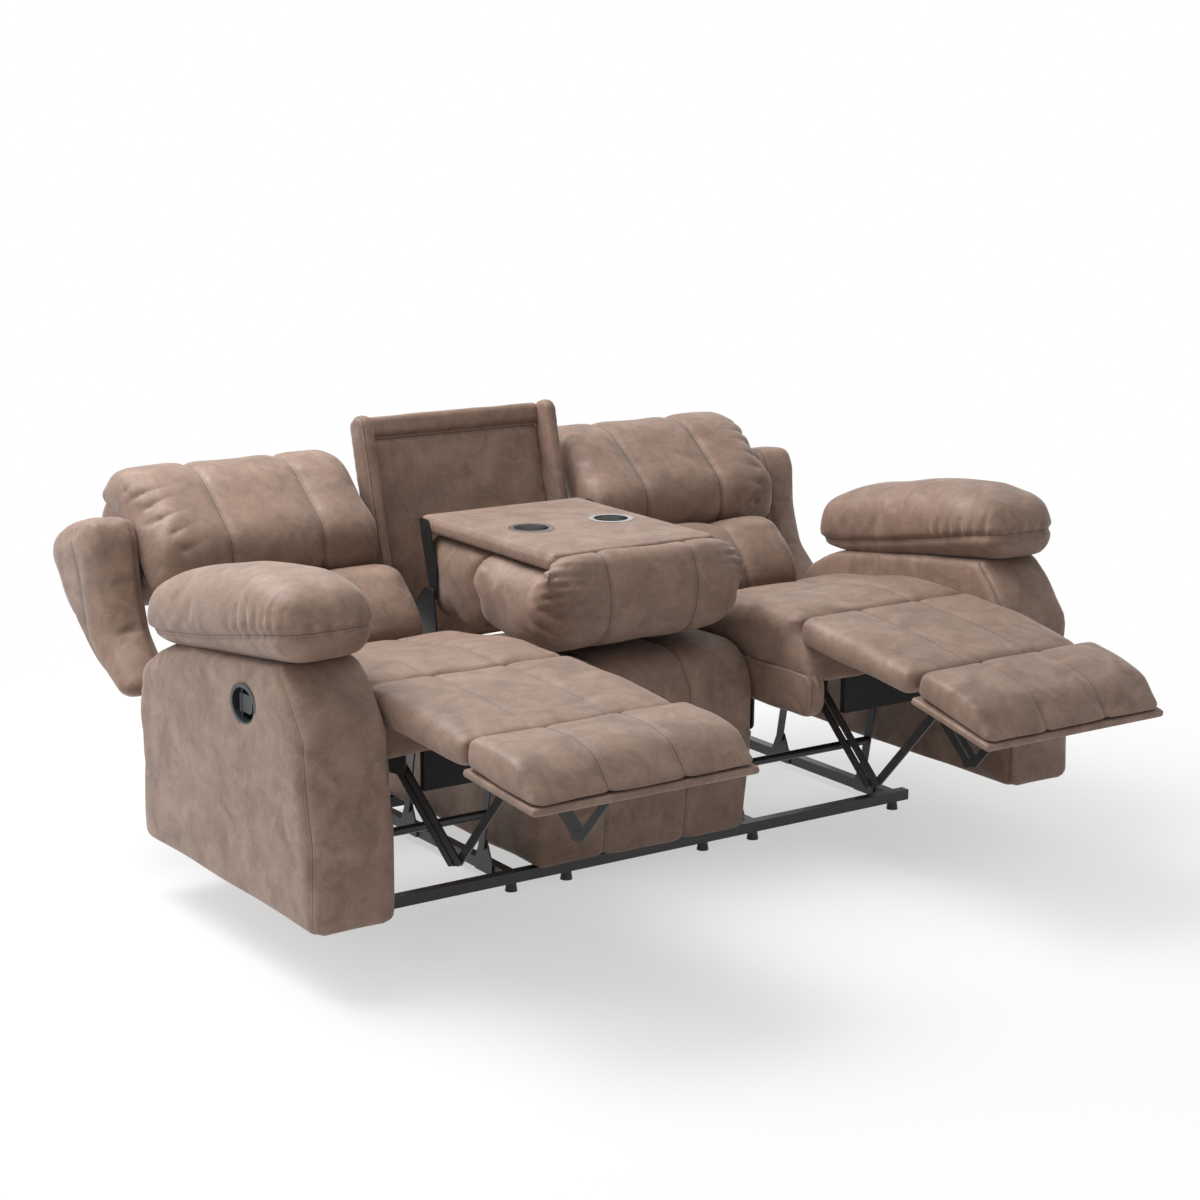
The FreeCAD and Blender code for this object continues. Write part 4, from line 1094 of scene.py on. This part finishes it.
# %% Draw the backs
LUMBAR = [
    (0.055, 0.000, 0.008), (0.055, -0.080, 0.040), (0.125, -0.112, 0.090), (0.240, -0.112, 0.060),
    (0.300, -0.050, 0.024), (0.300, 0.000, 0.004),
]
HEADREST = [
    (0.304, 0.010, 0.004), (0.304, -0.060, 0.024), (0.360, -0.128, 0.070), (0.578, -0.118, 0.120),
    (0.668, -0.050, 0.060), (0.658, 0.040, 0.040), (0.622, 0.060, 0.020), (0.600, 0.010, 0.020),
]
BACK_PANEL = [
    (0.100, 0.000, 0.006), (0.100, 0.077, 0.030), (0.300, 0.110, 0.120), (0.620, 0.0935, 0.050),
    (0.620, 0.000, 0.014),
]
SHOULDER = [(0.360, 0.000, 0.006), (0.360, 0.110, 0.030), (0.620, 0.0935, 0.050), (0.620, 0.000, 0.014)]
WING = [
    (0.104, 0.056, 0.022), (0.120, 0.100, 0.026), (0.268, 0.147, 0.160), (0.461, 0.166, 0.160),
    (0.613, 0.132, 0.060), (0.565, 0.012, 0.050), (0.479, -0.104, 0.040), (0.424, -0.080, 0.030),
    (0.350, -0.012, 0.040), (0.262, 0.044, 0.040),
]
WING_OUTER = -1.000
WING_INNER = -0.880
HEAD_OUTER = -0.878
BACK_OUTER = -0.799
BACK_INNER = -0.302
SHOULDER_INNER = -0.790


def behind_of(places):
    """How far behind the back's own plane each place lies."""
    y = places[:, 1] - AHEAD - BACK_HINGE[0]
    z = places[:, 2] - BACK_HINGE[1]
    return y * math.cos(BACK_LEAN) - z * math.sin(BACK_LEAN)


# %% Shape the lumbar roll and the headrest
def make_lumbar():
    roll = block_out("left_lumbar_roll", back_view(LUMBAR), BACK_OUTER, BACK_INNER, edge=0.030)
    lines = [-x for x in LUMBAR_SEAMS]
    channels(roll, lines, depth=0.006, reach=0.050)
    fill_with_air(
        roll, lambda p: (behind_of(p) > -0.02) | beside(p, lines, 0.010), pressure=5.0, cap=0.010
    )
    finer(roll)
    rumple(roll, size=0.14, depth=0.005, seed=12)
    sew(roll, [across(x) for x in lines])
    return roll


def make_headrest():
    head = block_out("left_headrest_roll", back_view(HEADREST), HEAD_OUTER, BACK_INNER, edge=0.045)
    lines = [-x for x in HEAD_SEAMS]
    channels(head, lines, depth=0.006, reach=0.050)
    fill_with_air(
        head, lambda p: (behind_of(p) > 0.01) | beside(p, lines, 0.010), pressure=5.5, cap=0.012
    )
    finer(head)
    rumple(head, size=0.15, depth=0.005, seed=14)
    y, z = on_back(0.318, -0.075)
    low = (-0.800, y + AHEAD, z)
    y, z = on_back(0.560, -0.085)
    high = (-0.872, y + AHEAD, z)
    pleats(head, low, high, (1, 0, 0), count=6, reach=0.050, depth=0.009, seed=4)
    y, z = on_back(0.310, -0.070)
    pleats(
        head, (-0.340, y + AHEAD, z), (-0.305, y + AHEAD + 0.02, z + 0.03), (-1, 0, 1),
        count=3, reach=0.045, depth=0.006, seed=6,
    )
    sew(head, [across(x) for x in lines] + [straight(low, high)], depth=0.005, width=0.008)
    return head


# %% Shape the wing and the wrapped frame
def make_wing():
    wing = block_out(
        "left_wing_roll", back_view(WING), WING_OUTER, WING_INNER, edge=0.026, voxel=0.009, passes=6
    )
    fill_with_air(wing, lambda p: p[:, 0] > -0.895, pressure=2.0, cap=0.006)
    finer(wing)
    rumple(wing, size=0.20, depth=0.003, seed=16)
    side_seam = placed([
        on_back(0.150, 0.105), on_back(0.300, 0.110), on_back(0.440, 0.020), on_back(0.540, -0.010),
    ])
    side_lines = [along_side(side_seam, WING_OUTER, reach=0.030), across(-0.900)]
    sew(wing, side_lines, depth=0.002, width=0.007)
    return wing


def make_back_frame():
    panel = block_out(
        "left_back_wrap", back_view(BACK_PANEL), BACK_OUTER, BACK_INNER, edge=0.012, passes=2
    )
    shoulder = block_out(
        "shoulder_wrap", back_view(SHOULDER), WING_INNER, SHOULDER_INNER, edge=0.012, passes=2
    )
    wrap = joined(panel, [shoulder])
    rumple(wrap, size=0.16, depth=0.004, seed=18)
    sew(wrap, [across(-0.312), across(-0.789)], depth=0.002, width=0.008)
    return wrap


# %% Make both backs
for make, node_name, fill in (
    (make_lumbar, "lumbar", 0.8), (make_headrest, "headrest", 0.85), (make_wing, "back_wing", 0.85),
    (make_back_frame, "back_frame", 0.9),
):
    left_piece = make()
    right_piece = mirrored(left_piece, left_piece.name.replace("left", "right", 1))
    rumple(right_piece, size=0.12, depth=0.003, seed=21)
    hand_over(left_piece, "left_back", "left_" + node_name)
    hand_over(right_piece, "right_back", "right_" + node_name)

# %% [markdown]
# ## The middle seat and its niche
# The middle seat doesn't move. Its cover falls over the front down to the frame, so its
# box and cushion are made as one mesh, where two would show a join. Behind it the lined
# niche shows where the console folds away.

# %% Make the middle seat
BOX_TOP = 0.400
MIDDLE_SIDE = [
    (0.292, 0.045, 0.012), (0.274, 0.240, 0.300), (0.268, 0.405, 0.080), (0.330, 0.492, 0.090),
    (0.580, 0.486, 0.200), (0.800, 0.446, 0.040), (0.812, BOX_TOP, 0.010), (1.012, BOX_TOP, 0.004),
    (1.012, 0.045, 0.004),
]
MIDDLE_HALF = 0.290
MIDDLE_SEAMS = [-0.110, 0.110]
SEWN_PART = 0.80 + AHEAD


def make_middle():
    """One cover falls from the seat over its front down to the frame."""
    cover = block_out("middle_seat_cover", MIDDLE_SIDE, -MIDDLE_HALF, MIDDLE_HALF, edge=0.022)
    channels(cover, MIDDLE_SEAMS, depth=0.005, reach=0.060, where=lambda p: p[:, 1] < SEWN_PART)
    fill_with_air(
        cover,
        lambda p: (p[:, 1] > SEWN_PART) | (p[:, 2] < 0.060) | (np.abs(p[:, 0]) > 0.280)
        | beside(p, MIDDLE_SEAMS, 0.010),
        pressure=3.0, cap=0.009,
    )
    finer(cover)
    rumple(cover, size=0.16, depth=0.005, seed=22)
    sew(cover, [across(x, lambda p: p[:, 1] < SEWN_PART) for x in MIDDLE_SEAMS])
    hand_over(cover, "base", ("middle_seat_box", "middle_seat_cushion"))


make_middle()


# %% [markdown]
# ## The niche's sides and lining
# Two padded sides stand round a tight lining with a soft roll along its top. One block
# could be hollowed out for it, but separate boards keep the crisp inner corners that a
# stapled lining has.

# %% Make the niche
def foot_of(behind):
    """How far below the hinge the niche meets the seat box."""
    return -(NICHE_HINGE[1] - BOX_TOP - behind * math.sin(NICHE_LEAN)) / math.cos(NICHE_LEAN)


NICHE_HEIGHT = 0.945
SIDE_FRONT = 0.146
LINING_FRONT = 0.196
NICHE_BACK = 0.216
NICHE_TOP = (NICHE_HEIGHT - NICHE_HINGE[1]) / math.cos(NICHE_LEAN) + LINING_FRONT * math.tan(NICHE_LEAN)
NICHE_OUTER = 0.280
NICHE_INNER = 0.244


def make_niche_sides():
    side_view = [
        (*on_niche(foot_of(SIDE_FRONT), SIDE_FRONT), 0.004), (*on_niche(NICHE_TOP, SIDE_FRONT), 0.028),
        (*on_niche(NICHE_TOP, NICHE_BACK), 0.028), (*on_niche(foot_of(NICHE_BACK), NICHE_BACK), 0.004),
    ]
    one = block_out(
        "niche_side_wraps", side_view, -NICHE_OUTER, -NICHE_INNER, edge=0.012, voxel=0.008, passes=2
    )
    two = block_out(
        "other_side_wrap", side_view, NICHE_INNER, NICHE_OUTER, edge=0.012, voxel=0.008, passes=2
    )
    walls = joined(one, [two])
    rumple(walls, size=0.10, depth=0.003, seed=26)
    sew(walls, [across(-0.274), across(0.274)], depth=0.002, width=0.005)
    hand_over(walls, "base", "niche_sides")


def make_niche_lining():
    panel_view = [
        (*on_niche(foot_of(LINING_FRONT), LINING_FRONT), 0.004),
        (*on_niche(NICHE_TOP - 0.010, LINING_FRONT), 0.008),
        (*on_niche(NICHE_TOP - 0.010, NICHE_BACK), 0.008),
        (*on_niche(foot_of(NICHE_BACK), NICHE_BACK), 0.004),
    ]
    panel = block_out(
        "niche_lining", panel_view, -NICHE_INNER, NICHE_INNER, edge=0, voxel=0.009, passes=2
    )
    roll_view = [
        (*on_niche(NICHE_TOP - 0.056, 0.189), 0.012), (*on_niche(NICHE_TOP - 0.002, 0.188), 0.016),
        (*on_niche(NICHE_TOP - 0.002, 0.214), 0.016), (*on_niche(NICHE_TOP - 0.056, 0.214), 0.004),
    ]
    roll = block_out("niche_roll", roll_view, -0.246, 0.246, edge=0, voxel=0.007, passes=2)
    panel = joined(panel, [roll])
    finer(panel)
    rumple(panel, size=0.08, depth=0.003, seed=28)
    # The fold under the top roll is sewn like a seam: the mesh sinks there, and the material paints a dark line of
    # shade under the roll.
    fold = placed([on_niche(NICHE_TOP - 0.060, 0.18), on_niche(NICHE_TOP - 0.060, 0.20)])
    sew(panel, [lambda p: side_distance(p, fold)], depth=0.003, width=0.006)
    hand_over(panel, "base", "niche_panel")


make_niche_sides()
make_niche_lining()

# %% [markdown]
# ## The console
# Face down, the middle back is a table: a board with two steel cups, its cover sewn
# round the rim, over the headrest and lumbar pillows that now hang underneath. The cups
# could simply lie on the cloth. Wells are cut for them instead, because a can stands in
# each and the steel has to be seen from above.

# %% Draw the console
TABLE = [(0.330, 0.702, 0.014), (0.330, 0.743, 0.016), (0.900, 0.743, 0.016), (0.900, 0.702, 0.014)]
CONSOLE_HEAD = [
    (0.620, 0.528, 0.060), (0.620, 0.700, 0.010), (0.352, 0.700, 0.010), (0.340, 0.741, 0.012),
    (0.292, 0.741, 0.060), (0.256, 0.655, 0.090), (0.276, 0.545, 0.090), (0.412, 0.505, 0.120),
]
CONSOLE_LUMBAR = [
    (0.628, 0.528, 0.050), (0.628, 0.700, 0.010), (0.870, 0.700, 0.020), (0.900, 0.642, 0.040),
    (0.900, 0.548, 0.050), (0.840, 0.508, 0.050), (0.700, 0.504, 0.060),
]
CUP_SPREAD = 0.110
CUP_BEHIND = 0.600
WELL_RADIUS = 0.0425
RIM_RADIUS = 0.050


def cut_cups(obj, radius=WELL_RADIUS):
    """Two round holes, so that the steel cups of the frame sit in the cloth."""
    for side in (-1, 1):
        centre = (side * CUP_SPREAD, CUP_BEHIND + AHEAD, 0.735)
        hollow(obj, "cup_well", centre, (radius, radius), depth=0.130)


# %% Make the table top
TABLE_LEFT = -0.232
TABLE_RIGHT = 0.222


def make_table_top():
    top = block_out("console_top", TABLE, TABLE_LEFT, TABLE_RIGHT, edge=0.012, voxel=0.010, passes=1)
    fill_with_air(
        top,
        lambda p: (np.abs(p[:, 0]) > 0.215) | (p[:, 1] < 0.345 + AHEAD) | (p[:, 1] > 0.885 + AHEAD)
        | (p[:, 2] < 0.72),
        pressure=1.2, cap=0.002,
    )
    finer(top)
    rumple(top, size=0.14, depth=0.001, seed=30)
    cut_cups(top, RIM_RADIUS)
    rim = [
        lambda p: (np.hypot(np.abs(p[:, 0]) - 0.232, p[:, 2] - 0.738), p[:, 1]),
        lambda p: (np.hypot(p[:, 1] - AHEAD - 0.330, p[:, 2] - 0.738), p[:, 0]),
        lambda p: (np.hypot(p[:, 1] - AHEAD - 0.900, p[:, 2] - 0.738), p[:, 0]),
    ]
    sew(top, rim, depth=0.003, width=0.005)
    hand_over(top, "console", "console_board")


make_table_top()

# %% Make the console's pillows
CONSOLE_SEAMS = [-0.117, 0.117]
HEAD_LEFT = -0.274
HEAD_RIGHT = 0.268
ROLL_HALF = 0.226


def make_console_head():
    head = block_out("console_head_roll", CONSOLE_HEAD, HEAD_LEFT, HEAD_RIGHT, edge=0.085)
    channels(head, CONSOLE_SEAMS, depth=0.002, reach=0.050, where=lambda p: p[:, 1] < 0.34 + AHEAD)
    fill_with_air(
        head,
        lambda p: ((p[:, 2] > 0.695) & (p[:, 1] > 0.32 + AHEAD)) | beside(p, CONSOLE_SEAMS, 0.010),
        pressure=5.0, cap=0.012,
    )
    finer(head)
    rumple(head, size=0.12, depth=0.006, seed=32)
    cheeks = []
    for side in (-1, 1):
        high = (side * 0.250, 0.310 + AHEAD, 0.742)
        low = (side * 0.262, 0.330 + AHEAD, 0.520)
        bend = (side * 0.262, 0.272 + AHEAD, 0.640)
        pleats(head, high, bend, (-side, 0, 0), count=5, reach=0.060, depth=0.010, seed=3 + side)
        pleats(head, bend, low, (-side, 0, 0), count=4, reach=0.050, depth=0.009, seed=5 + side)
        cheeks += [straight(high, bend), straight(bend, low)]
    cut_cups(head)
    front_only = [across(x, lambda p: p[:, 1] < 0.36 + AHEAD) for x in CONSOLE_SEAMS]
    sew(head, front_only + cheeks, depth=0.005, width=0.007)
    hand_over(head, "console", "console_headrest")


def make_console_lumbar():
    lumbar = block_out("console_lumbar_roll", CONSOLE_LUMBAR, -ROLL_HALF, ROLL_HALF, edge=0.040)
    channels(lumbar, CONSOLE_SEAMS, depth=0.010, reach=0.060)
    fill_with_air(lumbar, lambda p: p[:, 2] > 0.69, pressure=5.0, cap=0.012)
    finer(lumbar)
    rumple(lumbar, size=0.12, depth=0.006, seed=34)
    cut_cups(lumbar)
    sew(lumbar, [across(x) for x in CONSOLE_SEAMS])
    hand_over(lumbar, "console", "console_lumbar")


make_console_head()
make_console_lumbar()

# %% [markdown]
# ## Floor and light
# A pale studio floor lies under one broad soft light from above and a weaker one from the
# front left, with an even white surround for the fill. Where the camera sees it, the floor
# runs out to white with distance, so that the picture shows no horizon.

# %% Lay the floor
def seen_directly(tree):
    """One for what the camera sees straight, mirrored or through glass, and zero for fill."""
    paths = node(tree, "ShaderNodeLightPath").outputs
    seen = math_node(tree, "MAXIMUM", paths["Is Camera Ray"], paths["Is Glossy Ray"])
    return math_node(tree, "MAXIMUM", seen, paths["Is Transmission Ray"])


def lay_floor():
    bpy.ops.mesh.primitive_plane_add(size=40, location=(0, 0, 0))
    floor = bpy.context.object
    floor.name = "studio_floor"
    material, tree = new_material("studio_floor")
    shader = node(
        tree, "ShaderNodeBsdfPrincipled",
        {"Base Color": (0.93, 0.93, 0.93, 1), "Roughness": 0.75, "Specular IOR Level": 0.1},
    )
    white = node(tree, "ShaderNodeEmission", {"Color": (1, 1, 1, 1), "Strength": 1.0})
    place = node(tree, "ShaderNodeTexCoord").outputs["Object"]
    far = node(tree, "ShaderNodeVectorMath", {0: place}, operation="LENGTH").outputs["Value"]
    far = stretch(tree, far, 0.4, 2.5, 0.52, 1.0, interpolation_type="SMOOTHSTEP")
    share = math_node(tree, "MULTIPLY", far, seen_directly(tree))
    blend = node(tree, "ShaderNodeMixShader", {0: share, 1: shader.outputs[0], 2: white.outputs[0]})
    show(tree, blend)
    floor.data.materials.append(material)


# %% Hang the lights and set the surround
# name, place, aim, size in metres, power in watts
LIGHTS = [
    ("overhead", (-1.5, 1.5, 4.0), (0.1, -0.1, 0.3), 3.0, 240.0),
    ("front_left", (-4.2, -2.2, 2.4), (0.0, 0.0, 0.5), 2.2, 18.0),
]


def hang_lights():
    for name, place, aim, size, power in LIGHTS:
        data = bpy.data.lights.new(name, "AREA")
        data.size = size
        data.energy = power
        light = bpy.data.objects.new(name, data)
        scene.collection.objects.link(light)
        light.location = place
        light.rotation_mode = "QUATERNION"
        light.rotation_quaternion = (Vector(aim) - Vector(place)).to_track_quat("-Z", "Y")


def set_surround():
    """An even white world: full to the camera, weaker as fill light."""
    world = bpy.data.worlds.new("surround")
    scene.world = world
    world.use_nodes = True
    tree = world.node_tree
    tree.nodes.clear()
    strength = stretch(tree, seen_directly(tree), 0.0, 1.0, 0.35, 1.0)
    sky = node(tree, "ShaderNodeBackground", {"Color": (1, 1, 1, 1), "Strength": strength})
    show(tree, sky, "ShaderNodeOutputWorld")
    scene.view_settings.view_transform = "Standard"


lay_floor()
hang_lights()
set_surround()
print("stage set with", len(LIGHTS), "lights")
